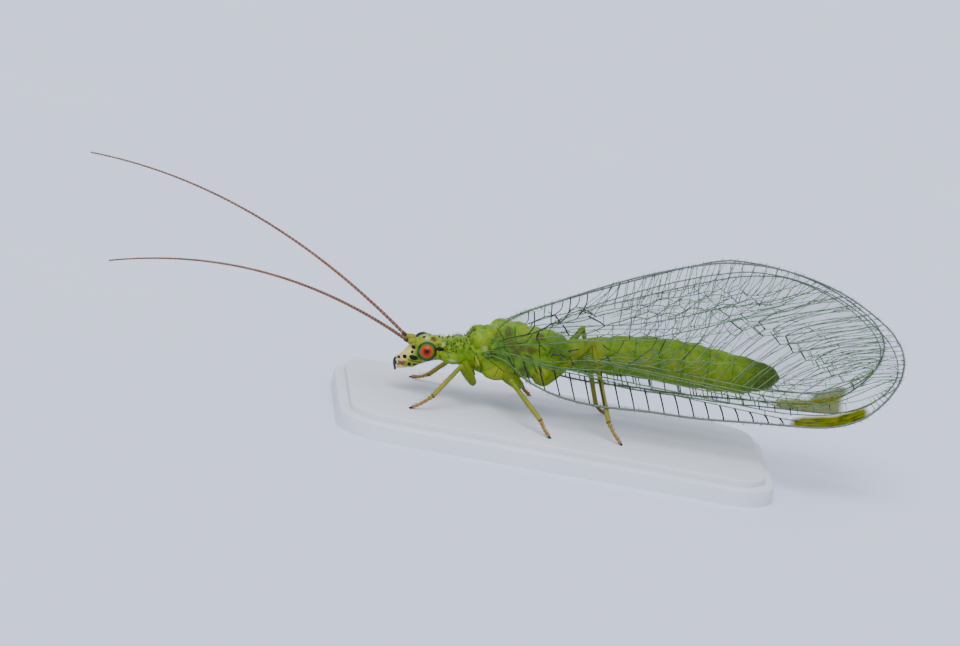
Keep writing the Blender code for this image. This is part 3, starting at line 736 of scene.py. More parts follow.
PALPS = (
    # radius, whether its end joints are black, and its joints from the mouth outwards, on the right
    (
        0.044, True,
        (
            (-5.50, 0.20, 1.08), (-5.62, 0.24, 1.15), (-5.72, 0.26, 1.08), (-5.755, 0.25, 0.93),
            (-5.70, 0.22, 0.77),
        ),
    ),
    (0.055, False, ((-5.30, 0.12, 0.93), (-5.44, 0.15, 0.90), (-5.56, 0.15, 0.88), (-5.65, 0.14, 0.86))),
)
JAW = ((-5.30, 0.22, 1.13), (-5.50, 0.20, 1.06), (-5.64, 0.06, 1.02))
JAW_RADII = (0.05, 0.06, 0.065, 0.065, 0.06, 0.055, 0.045, 0.03, 0.012)
mouth_paint = surface_material(
    "mouthparts", ((0.52, 0.40, 0.17), (0.36, 0.20, 0.09)), 9000, 0.7, 30000, 0.3, 0.000004,
    (((0.18, 0.030, 0.008), "tag", 0.45, 0.50, 0), ((0.008, 0.005, 0.004), "tag", 0.90, 0.95, 0)),
)
bm = bmesh.new()
for side in SIDES.values():
    for thick, black_end, joints in PALPS:
        joints = [on_side(joint, side) for joint in joints]
        for number, (low, high) in enumerate(zip(joints, joints[1:])):
            swell = [thick * share for share in (0.70, 0.95, 1.0, 0.85)]
            path = stretch(low, high, (0.0, 0.25, 0.75, 1.0))
            add_tube(bm, path, swell, 10, 1.0 if black_end and number > 1 else 0.0)
    add_tube(bm, smooth_path([on_side(point, side) for point in JAW], 4), JAW_RADII, 10, (0.5, 0.93))
finish_piece("mouthparts", bm, mouth_paint, "pale_cuticle")


# Feelers. A stout pale base joint, a dark ring and then about ninety short reddish-brown rings that
# thin to the tip, each with a few stiff hairs.
FEELERS = {
    # root and tip of the base joint, start and tip of the rings, bow of the rings
    "left": (
        (-5.20, -0.20, 1.83), (-5.47, -0.20, 1.82), (-5.59, -0.22, 1.88), (-16.20, -6.00, 4.10),
        (0, 0.10, 0.94),
    ),
    "right": (
        (-5.20, 0.20, 1.85), (-5.52, 0.20, 1.88), (-5.65, 0.23, 1.97), (-17.10, 2.00, 5.75), (0, 0.15, 0.98),
    ),
}
FEELER_RINGS = 92
FEELER_RADII = (0.062, 0.026)
FEELER_HAIR = {"on a ring": 3, "length": 0.045, "radius": 0.006}
feeler_paint = surface_material(
    "feeler_brown", ((0.17, 0.075, 0.045), (0.25, 0.125, 0.07)), 4000, 0.7, 40000, 0.4, 0.000004,
    (((0.035, 0.016, 0.012), "tag", 0.55, 0.95, 0), ((0.17, 0.185, 0.008), "pale", 0.4, 0.6, 0)),
    Specular_IOR_Level=0.25,
)


def add_hair(bm, root, tip, thick, tag=0.0):
    """A stiff hair: a three-sided cone."""
    layer = tag_layer(bm)
    away = tip - root
    matrix = Matrix.Translation((root + tip) / 2) @ away.to_track_quat("Z", "X").to_matrix().to_4x4()
    made = bmesh.ops.create_cone(
        bm, cap_ends=True, segments=3, radius1=thick, radius2=0, depth=away.length, matrix=matrix
    )["verts"]
    for vert in made:
        vert[layer] = tag


luck = Random(7)  # every uneven length and lean below is drawn from it, in turn


def across_way(way):
    """A random direction across the given one."""
    lean = Vector((luck.uniform(-1, 1), luck.uniform(-1, 1), luck.uniform(-1, 1)))
    return (lean - way * lean.dot(way)).normalized()


for word, feeler in FEELERS.items():
    bm = bmesh.new()
    root, knob, base, tip, bow = (Vector(point) for point in feeler)
    path, radii = [], []
    steps = FEELER_RINGS * 3
    for index in range(steps + 1):
        t = index / steps
        path.append(base.lerp(tip, t) + bow * 4 * t * (1 - t))
        collar = 1.12 if index % 3 == 0 else 0.92
        radii.append((FEELER_RADII[0] + (FEELER_RADII[1] - FEELER_RADII[0]) * t**0.8) * collar)
    add_tube(bm, path, radii, 8)
    for vert in bm.verts:
        t = (base.x - vert.co.x) / (base.x - tip.x)
        vert[tag_layer(bm)] = 1.0 if round(t * steps) % 3 == 0 else 0.1
    hairs = bmesh.new()
    for ring in range(2, FEELER_RINGS):
        index = ring * 3 + 1
        ahead = (path[index + 1] - path[index]).normalized()
        for _ in range(FEELER_HAIR["on a ring"]):
            out = across_way(ahead)
            end = path[index] + out * (radii[index] + FEELER_HAIR["length"]) + ahead * 0.05
            add_hair(hairs, path[index] + out * radii[index] * 0.8, end, FEELER_HAIR["radius"], 0.6)
    pour(bm, hairs)
    pale = bm.verts.layers.float.new("pale")
    before = set(bm.verts)
    base_joint = stretch(root, knob, (0, 0.15, 0.4, 0.7, 0.92, 1.0))
    add_tube(bm, base_joint, (0.11, 0.13, 0.13, 0.112, 0.092, 0.07), 16, 0.0)
    for vert in set(bm.verts) - before:
        vert[pale] = 1.0
    dark_ring = stretch(knob, base, (0.0, 0.25, 0.5, 0.8, 1.0))
    add_tube(bm, dark_ring, (0.072, 0.078, 0.08, 0.075, 0.060), 12, 1.0)
    finish_piece(f"feeler_{word}", bm, feeler_paint, "antenna", f"antenna_{word}")


# Hairs of the body. Short stiff bristles, black on the neck shield and the head and pale elsewhere.
# Each grows out of the skin's surface.
HAIR_PATCHES = (
    # from and to along the body, lowest height, how many, length, how black
    (-4.45, -3.25, 1.95, 190, 0.12, 1.0),
    (-4.45, -3.25, 1.30, 60, 0.07, 0.6),
    (-5.10, -4.50, 1.95, 24, 0.07, 1.0),
    (-3.30, -0.30, 2.55, 190, 0.09, 0.15),
    (-3.10, -0.40, 1.00, 110, 0.07, 0.2),
    (-0.30, 7.20, 1.80, 520, 0.07, 0.25),
)
BRISTLE_RADIUS, BLACK_THICKER = 0.006, 0.004
bristle_paint = surface_material(
    "bristle", ((0.30, 0.36, 0.16), (0.20, 0.26, 0.10)), 6000, 0.7, 30000, 0.4, 0.000002,
    (((0.006, 0.006, 0.004), "tag", 0.1, 0.9, 0),), Specular_IOR_Level=0.3,
)
faces = [(Vector(face.center) / MM - Vector((0, 0, FEET)), Vector(face.normal)) for face in skin.data.polygons]
bm = bmesh.new()
for low, high, floor_height, count, length, black in HAIR_PATCHES:
    patch = [pair for pair in faces if low < pair[0].x < high and pair[0].z > floor_height]
    small = bmesh.new()
    for _ in range(count):
        root, out = luck.choice(patch)
        lean = (out + across_way(out) * 0.25 + Vector((0.35, 0, 0))).normalized()
        end = root + lean * length * luck.uniform(0.8, 1.2)
        add_hair(small, root, end, BRISTLE_RADIUS + BLACK_THICKER * black, black)
    pour(bm, small)
finish_piece("body_bristles", bm, bristle_paint, "green_cuticle", sharp=180)


# Legs. Six slim jointed legs: a broad green hip, a green thigh, a straw shin and a brown foot of five
# short joints that ends in two claws. Each is a stiff tube with short hairs.
LEGS = {
    # hip, thigh root, knee, shin end and claws, each leg as if on the right
    ("front", "left"): (
        (-3.46, 0.40, 1.50), (-3.02, 0.58, 0.84), (-3.62, 1.16, 1.50), (-4.42, 1.90, 0.51),
        (-5.06, 2.10, 0.05),
    ),
    ("mid", "left"): (
        (-2.05, 0.50, 1.40), (-1.45, 0.74, 1.08), (-1.86, 1.34, 1.36), (-0.74, 2.40, 0.47),
        (-0.38, 2.70, 0.05),
    ),
    ("hind", "left"): (
        (-0.88, 0.44, 1.50), (-0.62, 0.62, 1.30), (0.62, 1.02, 3.10), (1.63, 1.62, 0.64), (2.15, 1.88, 0.05),
    ),
    ("front", "right"): (
        (-3.46, 0.40, 1.50), (-3.00, 0.58, 0.84), (-3.52, 1.10, 1.40), (-4.33, 1.80, 0.31),
        (-4.86, 2.10, 0.05),
    ),
    ("mid", "right"): (
        (-2.05, 0.50, 1.40), (-1.50, 0.74, 1.08), (-1.95, 1.34, 1.30), (-1.10, 2.30, 0.42),
        (-0.75, 2.60, 0.05),
    ),
    ("hind", "right"): (
        (-0.88, 0.44, 1.50), (-0.66, 0.62, 1.30), (0.43, 1.00, 3.04), (1.48, 1.62, 0.36), (1.86, 1.90, 0.05),
    ),
}
HIP_RADII = {
    "front": (0.15, 0.155, 0.15, 0.12), "mid": (0.24, 0.25, 0.20, 0.14), "hind": (0.26, 0.27, 0.20, 0.13),
}
THIGH_RADII = (0.085, 0.125, 0.13, 0.115, 0.09)
SHIN_RADII = (0.075, 0.078, 0.082, 0.084, 0.082, 0.078)
KNEE_RADII = {
    "front": (0.095, 0.10, 0.095, 0.075), "mid": (0.095, 0.10, 0.095, 0.075),
    "hind": (0.105, 0.12, 0.118, 0.085),
}
FOOT_JOINTS = 5
FOOT_ARCH = 0.05
CLAW_RADII = (0.030, 0.028, 0.025, 0.022, 0.018, 0.012, 0.006)
LEG_HAIR = {"radius": 0.006, "length": 0.07}
leg_paint = surface_material(
    "leg_cuticle", ((0.090, 0.140, 0.003), (0.150, 0.190, 0.008)), 3200, 0.8, 30000, 0.36, 0.000006,
    (
        ((0.200, 0.180, 0.024), "tag", 0.50, 0.98, 5000),
        ((0.235, 0.120, 0.045), "tag", 1.22, 1.42, 5000),
        ((0.020, 0.008, 0.005), "tag", 1.45, 1.55, 0),
    ),
    Specular_IOR_Level=0.16,
)


def add_foot(bm, ankle, claw):
    """Five short joints in a low arch, and the two claws at their end."""
    for joint in range(FOOT_JOINTS):
        low = ankle.lerp(claw, joint / FOOT_JOINTS)
        high = ankle.lerp(claw, (joint + 0.96) / FOOT_JOINTS)
        low.z -= FOOT_ARCH * sin(pi * joint / FOOT_JOINTS)
        high.z -= FOOT_ARCH * sin(pi * (joint + 1) / FOOT_JOINTS)
        thick = 0.062 if joint else 0.072
        swell = [thick * share for share in (0.75, 0.85, 1.1, 0.9)]
        add_tube(bm, stretch(low, high, (0, 0.3, 0.85, 1.0)), swell, 10, 1.0 + 0.04 * joint)
    ahead = (claw - ankle).normalized()
    apart = ahead.cross(Vector((0, 0, 1))).normalized()
    for part in (-1, 1):
        bend = claw + ahead * 0.07 + apart * part * 0.05
        point = claw + ahead * 0.10 + apart * part * 0.07 - Vector((0, 0, 0.035))
        add_tube(bm, smooth_path([claw, bend, point], 3), CLAW_RADII, 8, 1.6)


def add_leg_hairs(bm, low, high, count, thick, tag):
    """Hairs all round a stretch of the leg, whose radius is thick, leaning to its far end."""
    way = (high - low).normalized()
    hairs = bmesh.new()
    for _ in range(count):
        out = across_way(way)
        spot = low.lerp(high, luck.uniform(0.06, 0.96))
        end = spot + out * (thick + LEG_HAIR["length"]) + way * 0.06
        add_hair(hairs, spot + out * thick * 0.8, end, LEG_HAIR["radius"], tag)
    pour(bm, hairs)


for word, side in SIDES.items():
    for which in ("front", "mid", "hind"):
        bm = bmesh.new()
        hip, thigh, knee, ankle, claw = (on_side(joint, side) for joint in LEGS[which, word])
        add_tube(bm, stretch(hip, thigh, (0, 0.35, 0.75, 1.0)), HIP_RADII[which], 16, (0.0, 0.1))
        add_tube(bm, stretch(thigh, knee, (0, 0.2, 0.5, 0.8, 1.0)), THIGH_RADII, 14, (0.05, 0.25))
        cap = [*stretch(knee, thigh, (0.10, 0.03)), *stretch(knee, ankle, (0.0, 0.03))]
        add_tube(bm, cap, KNEE_RADII[which], 14, 0.45)
        add_tube(bm, stretch(knee, ankle, (0, 0.05, 0.25, 0.6, 0.9, 1.0)), SHIN_RADII, 12, (0.10, 0.80))
        add_tube(bm, stretch(ankle, claw, (-0.03, 0.03)), (0.092, 0.085), 12, 1.5)
        add_foot(bm, ankle, claw)
        add_leg_hairs(bm, thigh, knee, 46, 0.13, 0.2)
        add_leg_hairs(bm, knee, ankle, 110, 0.085, 0.7)
        add_leg_hairs(bm, ankle, claw, 46, 0.06, 1.0)
        finish_piece(f"{which}_leg_{word}", bm, leg_paint, "leg", f"leg_{which}_{word}")


# Wings. Four clear membranes, each stretched over a net of hollow veins and folded like a steep roof.
# The veins are green with black cross veins, carry short hairs, and the front edge has an olive spot.
WINGS = {
    # root, pitch, out and inward: where it is hinged, its slant, and how far out it starts and in it leans
    # reach, behind and ahead: size against a forewing's, along it and on each side of its long veins
    # spot moved: how far the olive spot lies from a forewing's; spot hidden: how much of its inner end is clear
    "forewing": {
        "root": (-2.67, 2.20), "pitch": 8.6, "out": 0.86, "inward": 0.0,
        "reach": 1.0, "behind": 1.0, "ahead": 1.0,
        "vein thickness": {"left": 0.92, "right": 0.76}, "blackness": 1.0, "hairiness": 1.0, "paleness": 0.0,
        "spot moved": (0.0, 0.0), "spot strength": {"left": 1.0, "right": 0.88},
        "spot hidden": {"left": 0.0, "right": 1.4},
    },
    "hindwing": {
        "root": (-0.90, 2.62), "pitch": 6.5, "out": 0.60, "inward": 0.20,
        "reach": 0.858, "behind": 0.93, "ahead": 0.70,
        "vein thickness": {"left": 0.62, "right": 0.62}, "blackness": 0.6, "hairiness": 0.4, "paleness": 1.0,
        "spot moved": (-1.0, 0.20), "spot strength": {"left": 0.92, "right": 0.0},
        "spot hidden": {"left": 0.0, "right": 0.0},
    },
}
# The right pair is a little shorter and lies lower near its root
REACH_ON_THE_RIGHT = 0.966
LOW_ON_THE_RIGHT = 0.45
HINGE_TURN = 2.2  # how far behind its root a wing has turned from the body's side to the roof
# The pair leans together above the body and spreads downwards, with a slight swell halfway
ROOF = {"ridge": 6.6, "gap at ridge": 0.16, "slope": 0.265, "swell": 0.2, "swell height": 4, "swell reach": 2.7}
# Margins of a forewing: distance from the root along it, and across it to the edge
WING_LENGTH = 14.02
OUTER_MARGIN_FROM = 8.4
HIND_MARGIN = (
    (0.0, 0.26), (0.21, 0.76), (0.50, 1.04), (0.83, 1.23), (1.33, 1.49), (1.90, 1.70), (2.57, 1.94),
    (3.55, 2.26), (4.73, 2.60), (5.95, 2.88), (6.93, 3.05), (7.99, 3.15), (9.53, 3.01), (11.05, 2.59),
    (12.30, 1.99), (13.38, 1.21), (13.80, 0.70), (13.97, 0.34), (WING_LENGTH, 0.0),
)
FRONT_MARGIN = (
    (0.0, -0.20), (0.56, -0.42), (1.05, -0.81), (1.50, -1.06), (2.53, -1.43), (3.70, -1.65), (5.37, -1.79),
    (7.12, -1.98), (8.92, -2.06), (10.22, -2.13), (11.24, -2.16), (12.03, -2.06), (12.70, -1.81),
    (13.26, -1.39), (13.68, -0.92), (13.93, -0.46), (WING_LENGTH, 0.0),
)
# Upper edge of the olive spot, from its inner end to its outer one
SPOT = (
    (10.10, -2.06), (10.24, -1.88), (10.70, -1.79), (11.60, -1.75), (12.20, -1.60), (12.55, -1.46),
    (12.75, -1.46), (12.90, -1.58), (12.97, -1.70),
)


def ease(t):
    """A share that starts and ends gently."""
    t = min(max(t, 0.0), 1.0)
    return t * t * (3 - 2 * t)


def wing_place(wing, side, s, h):
    """Place of a point that lies s along and h across a forewing, or the like point of a hindwing."""
    pitch = radians(wing["pitch"])
    s *= wing["reach"] * (REACH_ON_THE_RIGHT if side > 0 else 1)
    h *= wing["behind"] if h > 0 else wing["ahead"]
    if side > 0 and h > 0:
        h *= 1 - LOW_ON_THE_RIGHT * max(1 - s / 8, 0)
    x = wing["root"][0] + s * cos(pitch) - h * sin(pitch)
    z = wing["root"][1] + s * sin(pitch) + h * cos(pitch)
    swell = ROOF["swell"] * max(1 - ((z - ROOF["swell height"]) / ROOF["swell reach"]) ** 2, 0)
    roof = ROOF["gap at ridge"] + ROOF["slope"] * (ROOF["ridge"] - z) + swell - wing["inward"]
    y = wing["out"] + (max(roof, 0.05) - wing["out"]) * ease((x - wing["root"][0]) / HINGE_TURN)
    return Vector((x, side * y, z))


margins = []
for corners in (FRONT_MARGIN, HIND_MARGIN):
    path = smooth_path([Vector(corner) for corner in corners], 8)
    margins.append((np.array([p[0] for p in path]), np.array([p[1] for p in path]), path))


def edge_at(which, s):
    """How far across the front margin (0) or the hind one (1) lies at s along."""
    return float(np.interp(s, margins[which][0], margins[which][1]))


def edge_place(h):
    """How far along the outer margin lies at a distance h across."""
    steps = np.linspace(OUTER_MARGIN_FROM, WING_LENGTH, 200)
    heights = [edge_at(1 if h > 0 else 0, s) for s in steps]
    return float(steps[int(np.argmin(np.abs(np.array(heights) - h)))])


# The hinge of a forewing's veins, and how far across it the long straight ones lie
HINGE = (-0.36, -0.20)


def subcosta(s):
    return -0.08 - 0.183 * s


def radius_vein(s):
    return -0.02 - 0.172 * s


def sector(s):
    return radius_vein(s) + 0.24 * ease((s - 2.0) / 2.2)


# The long vein behind them, which carries the row of six-sided cells
CUBITUS = (
    (-0.30, 0.0), (0.3, 0.14), (1.6, 0.34), (3.10, 0.52), (4.62, 0.60), (5.47, 0.70), (6.31, 0.87),
    (7.14, 1.05), (7.88, 1.25), (8.45, 1.36), (9.02, 1.47), (9.49, 1.55), (9.94, 1.66), (10.40, 1.82),
    (10.9, 2.06), (11.35, 2.45),
)
# Veins that fit no rule: how black, radius and corners (along, across)
ROOT_VEINS = (
    # the last veins before the body and their black rungs, on the forewings alone
    (0.75, 0.024, ((0.20, 0.30), (0.80, 0.52), (1.29, 0.67), (1.57, 0.81), (1.94, 1.03), (2.18, 1.10),
                   (2.30, 1.15), (2.44, 1.31), (2.52, 1.47), (2.55, 1.68), (2.56, 1.92))),
    (0.30, 0.022, ((0.15, 0.24), (1.20, 0.62), (2.04, 0.99), (2.37, 1.10), (2.76, 1.23), (2.87, 1.37))),
    (0.80, 0.022, ((2.87, 1.37), (3.01, 1.53), (3.06, 1.63), (3.12, 1.81), (3.13, 2.05))),
    (1.0, 0.024, ((1.35, 1.42), (1.37, 1.16), (1.37, 0.94), (1.26, 0.74), (1.15, 0.64))),
    (0.9, 0.022, ((1.94, 1.69), (1.93, 1.43), (1.92, 1.19), (1.94, 1.04))),
    (1.0, 0.020, ((2.07, 1.32), (2.15, 1.23), (2.19, 1.11))),
    (0.9, 0.020, ((3.01, 1.53), (3.13, 1.51), (3.33, 1.42))),
    (1.0, 0.026, ((3.19, 1.33), (3.34, 1.26), (3.58, 1.15), (3.75, 1.04))),
    (1.0, 0.026, ((2.33, 1.02), (2.43, 0.89), (2.55, 0.68))),
    (1.0, 0.030, ((1.53, 0.74), (1.48, 0.59), (1.47, 0.45))),
    (1.0, 0.022, ((1.56, 0.34), (1.60, -0.08))),
    (0.9, 0.020, ((1.98, -0.05), (2.08, 0.05), (2.47, -0.03))),
    (1.0, 0.020, ((2.55, 0.16), (2.89, 0.24))),
    (1.0, 0.020, ((2.61, -0.03), (2.74, -0.29))),
    (1.0, 0.018, ((3.71, 0.40), (3.93, 0.24))),
    (1.0, 0.018, ((3.84, 0.10), (3.97, -0.14))),
    (1.0, 0.018, ((4.30, -0.37), (4.36, -0.67))),
    (1.0, 0.018, ((5.84, 0.64), (5.61, 0.14))),
)
CELL_VEINS = (
    # the vein that splits into the row of six-sided cells, and the line above it
    (0.1, 0.022, ((0.10, 0.12), (1.00, 0.42), (2.00, 0.62), (2.75, 0.70), (3.23, 0.79), (3.75, 1.02),
                  (3.97, 1.11), (4.31, 1.20), (4.60, 1.30))),
    (0.1, 0.016, ((2.76, 1.23), (3.19, 1.33), (3.64, 1.50), (3.96, 1.57), (4.30, 1.62), (4.68, 1.70),
                  (5.20, 1.78), (5.64, 1.97), (6.03, 2.00), (6.74, 2.10), (7.10, 2.20), (7.49, 2.24))),
    # rungs from those cells down to the long vein
    (0.3, 0.016, ((4.02, 1.14), (4.03, 0.83), (4.05, 0.58))),
    (0.8, 0.018, ((4.64, 1.29), (4.64, 1.08), (4.61, 0.89), (4.60, 0.60))),
    (0.2, 0.016, ((5.18, 1.27), (5.15, 1.05), (5.08, 0.68))),
    (0.3, 0.016, ((5.54, 1.46), (5.57, 1.06), (5.50, 0.89), (5.48, 0.70))),
    (0.2, 0.016, ((6.15, 1.42), (6.14, 1.21), (6.07, 1.00), (6.05, 0.82))),
    (0.2, 0.016, ((6.49, 1.57), (6.40, 1.31), (6.34, 1.08), (6.30, 0.87))),
    (0.2, 0.016, ((7.04, 1.68), (6.90, 1.42), (6.81, 1.18), (6.80, 0.97))),
    (0.2, 0.016, ((7.17, 1.59), (7.20, 1.38), (7.16, 1.06))),
    (0.2, 0.016, ((7.50, 1.75), (7.35, 1.49), (7.28, 1.10))),
    (0.2, 0.016, ((8.09, 1.83), (8.09, 1.72), (8.00, 1.44), (7.93, 1.27))),
    # the first two rungs of the inner staircase
    (0.2, 0.015, ((7.81, 1.22), (7.92, 1.00), (8.12, 0.84), (8.34, 0.87), (8.45, 0.99))),
    (1.0, 0.022, ((8.05, 1.28), (8.25, 1.11), (8.45, 0.99))),
)
CELLS_BELOW = (
    (4.60, 1.30), (4.91, 1.35), (5.18, 1.27), (5.54, 1.46), (5.95, 1.49), (6.15, 1.42), (6.49, 1.57),
    (6.65, 1.68), (7.04, 1.68), (7.17, 1.59), (7.50, 1.75), (7.74, 1.83), (8.09, 1.83), (8.24, 1.72),
    (8.72, 1.87), (8.84, 1.93), (9.04, 1.79),
)
CELLS_ABOVE = (
    (4.60, 1.30), (4.91, 1.41), (5.22, 1.53), (5.54, 1.46), (5.92, 1.72), (6.26, 1.77), (6.48, 1.60),
    (6.94, 1.92), (7.23, 2.02), (7.50, 1.79), (8.05, 2.06), (8.28, 1.86), (8.71, 2.08), (9.01, 1.84),
    (9.33, 1.84), (9.75, 1.95), (10.22, 2.12), (10.63, 2.24), (11.05, 2.50),
)
# From the cells up to the hind margin: corners, and how far along the vein ends there
RISERS = (
    ((2.87, 1.37), (3.30, 1.52), (3.56, 1.85), (3.79, 2.08), 3.96),
    ((3.40, 1.43), (3.75, 1.83), (4.08, 2.16), 4.24),
    ((4.06, 1.58), (4.09, 1.86), (4.15, 2.21), 4.26),
    ((4.32, 1.63), (4.43, 1.96), (4.47, 2.24), 4.52),
    ((4.62, 1.31), (4.68, 1.87), (4.72, 2.24), 4.74),
    ((4.91, 1.41), (4.82, 1.85), (4.96, 2.11), 5.02),
    ((4.95, 1.44), (4.95, 1.74), (5.15, 2.21), 5.35),
    ((5.22, 1.53), (5.28, 1.89), (5.35, 2.21), 5.40),
    ((5.38, 1.75), (5.50, 1.98), (5.56, 2.22), 5.65),
    ((5.64, 1.99), (5.64, 2.13), (5.73, 2.33), 5.86),
    ((5.92, 1.72), (5.89, 1.99), (5.88, 2.41), 5.97),
    ((6.03, 2.00), (6.13, 2.16), (6.09, 2.41), 6.25),
    ((6.26, 1.77), (6.30, 2.09), (6.49, 2.35), 6.66),
    ((6.94, 1.92), (6.90, 2.25), (6.94, 2.52), 7.05),
    ((6.74, 2.10), (6.76, 2.29), (6.80, 2.59), 6.84),
    ((7.23, 2.02), (7.10, 2.20), (7.24, 2.44), 7.47),
    ((7.23, 2.02), (7.39, 2.21), (7.46, 2.44), 7.62),
    ((7.49, 2.24), (7.73, 2.38), (7.92, 2.66), 8.00),
    ((7.76, 1.95), (7.78, 2.26), (7.85, 2.45), 8.14),
    ((8.05, 2.06), (7.93, 2.20), (8.09, 2.39), (8.29, 2.50), 8.42),
    ((8.28, 1.86), (8.40, 2.25), (8.62, 2.55), 8.80),
    ((8.71, 2.08), (8.85, 2.26), (9.02, 2.47), 9.22),
    ((9.01, 1.84), (9.20, 2.15), (9.45, 2.50), 9.60),
    ((9.33, 1.84), (9.62, 2.18), (9.85, 2.50), 9.98),
    ((9.75, 1.95), (10.00, 2.25), (10.20, 2.50), 10.35),
    ((10.22, 2.12), (10.42, 2.35), (10.62, 2.60), 10.70),
)
# Staircase of the outer half: where each branch steps up, and where it forks next
STEPS = (
    ((8.45, 0.99), (8.82, 1.11)), ((9.15, 0.83), (9.49, 0.87)), ((9.74, 0.57), (10.02, 0.60)),
    ((10.19, 0.32), (10.48, 0.36)), ((10.64, 0.06), (10.96, 0.09)), ((11.12, -0.19), (11.37, -0.14)),
    ((11.53, -0.41), (11.77, -0.36)), ((11.95, -0.62), (12.18, -0.56)), ((12.33, -0.80), (12.55, -0.74)),
)


FAN = 3.2  # how far before the tip the branches start to be cut short


def vein_net(sparse):
    """Veins of a wing: corners, first and last radius, colour, hairs a millimetre, and whether each is curved.

    The colour runs from 0, green, to 1, black, and below 0 it stands for the grey of the margins.
    """
    net = []

    def vein(corners, first, last, dark, hairs=0, curved=False):
        net.append((corners, first, last, dark, hairs, curved))

    vein([HINGE, (-0.1, -0.24), *margins[0][2][::2]], 0.046, 0.040, -1.0, 44)
    vein([(-0.14, 0.24), *margins[1][2][::2]], 0.036, 0.032, -0.9, 32)
    # Long veins from the hinge to the tip
    tip = [(10.3, -1.94), (11.2, -1.98)]
    vein([HINGE] + [(s, subcosta(s)) for s in (0.1, 2, 4, 6, 8, 9.4)] + tip, 0.024, 0.018, 0.15, 10, True)
    tip = [(10.6, -1.74), (11.5, -1.72), (12.5, -1.48), (13.2, -1.14), (13.72, -0.80)]
    vein([HINGE] + [(s, radius_vein(s)) for s in (0.1, 2, 4, 6, 8, 9.6)] + tip, 0.030, 0.020, 0.0, 10, True)
    tip = [(9.9, -1.47), (10.7, -1.48), (11.5, -1.36), (12.3, -1.08), (13.1, -0.72), (13.95, -0.38)]
    vein([(s, sector(s)) for s in (2.0, 3, 4, 6, 8, 9)] + tip, 0.024, 0.016, 0.0, 10, True)
    media = [HINGE, (0.3, -0.03), (1.2, -0.18), (2.0, -0.22), (3.1, -0.13)]
    media += [(3.5 + 0.55 * n, -0.10 + (0.05 if n % 2 else -0.05)) for n in range(8)] + [(7.6, -0.08)]
    vein(media, 0.020, 0.015, 0.0, 8)
    vein(CUBITUS, 0.022, 0.018, 0.1, 10, True)
    # The row of six-sided cells behind them, and what runs from it to the hind margin
    vein(((7.88, 1.25), (8.66, 1.48), (9.02, 1.64), (9.75, 1.84), (10.22, 2.12)), 0.018, 0.016, 0.1, 10, True)
    vein(CELLS_BELOW, 0.019, 0.018, 0.35, 8)
    vein(CELLS_ABOVE, 0.019, 0.015, 0.35, 8)
    for black, thick, corners in CELL_VEINS if sparse else ROOT_VEINS + CELL_VEINS:
        vein(corners, thick * (1.2 if black > 0.5 else 1), thick, black, 0 if black > 0.5 else 8, True)
    for *corners, end in RISERS[:: 2 if sparse else 1]:
        vein((*corners, (end, edge_at(1, end))), 0.016, 0.013, 0.2, 9, True)
    # Between the front margin and its next vein
    for n in range(19):
        s = 0.55 + 0.515 * n
        foot = s + 0.26 - 0.006 * n
        top = subcosta(s)
        bottom = edge_at(0, foot)
        vein(((s, top), (s + 0.10, top + 0.45 * (bottom - top)), (foot, bottom)), 0.035, 0.027, 1.0, 0, True)
    for n in range(7):
        s = 12.9 + 0.12 * n
        foot = s + 0.20 + 0.015 * n
        vein(((s, -1.28 + 0.11 * n), (foot, edge_at(0, foot))), 0.016, 0.014, 0.4, 3)
    # Rungs between the long veins
    for n in range(15):
        s = 2.6 + 0.54 * n
        vein(((s, sector(s)), (s + 0.05, radius_vein(s + 0.05))), 0.023, 0.023, 1.0)
    for s in (1.6, 4.6, 9.3):
        vein(((s, radius_vein(s)), (s + 0.03, subcosta(s + 0.03))), 0.019, 0.019, 0.9)
    for n in range(4):
        s = 10.4 + 0.55 * n
        vein(((s, -1.50 + 0.06 * n), (s + 0.04, -1.70 + 0.06 * n)), 0.015, 0.015, 0.7)
    # Branches that fan out to the wing's tip: each steps up, forks and forks again
    for k, (step, fork) in enumerate(STEPS):
        start = 6.78 + 0.55 * k
        near = (start, sector(start)) if start < 9.6 else (start, -1.50 + 0.12 * (start - 9.6))
        rise = (near[0] + 0.40 * (step[0] - near[0]), near[1] + 0.47 * (step[1] - near[1]))
        bend = (near[0] + 0.68 * (step[0] - near[0]), near[1] + 0.74 * (step[1] - near[1]))
        vein((near, rise, bend, step, fork), 0.018, 0.016, 0.2, 9)
        if k:
            vein((STEPS[k - 1][1], step), 0.023, 0.022, 1.0 if k < 4 else 0.4)
        shrink = min((WING_LENGTH - fork[0]) / FAN, 1)
        for lift, twigs, ways in (
            (1.12 - 0.09 * k, (-0.08, 0.08), ((0.27, 0.20), (0.60, 0.40), (1.00, 0.58))),
            (0.84 - 0.075 * k, (0.0,), ((0.42, 0.12), (0.88, 0.24), (1.50, 0.42))),
        ):
            path = [fork] + [(fork[0] + way[0] * shrink, fork[1] + way[1] * (1 - 0.06 * k)) for way in ways]
            rim = fork[1] + lift
            split = ((path[-1][0] + edge_place(rim)) / 2, (path[-1][1] + rim) / 2)
            vein((*path, split), 0.015, 0.013, 0.2, 9, True)
            for twig in (0.0,) if sparse else twigs:
                vein((split, (edge_place(rim + twig), rim + twig)), 0.013, 0.012, 0.2, 7)
    # The outer staircase joins the lower fork of each branch to the upper fork of the next
    for low, high in zip(STEPS, STEPS[1:]):
        scale = min((WING_LENGTH - high[1][0]) / FAN, 1)
        top = (low[1][0] + 1.22 * min((WING_LENGTH - low[1][0]) / FAN, 1), low[1][1] + 0.26)
        vein((top, (high[1][0] + 0.86 * scale, high[1][1] + 0.44)), 0.016, 0.016, 0.7)
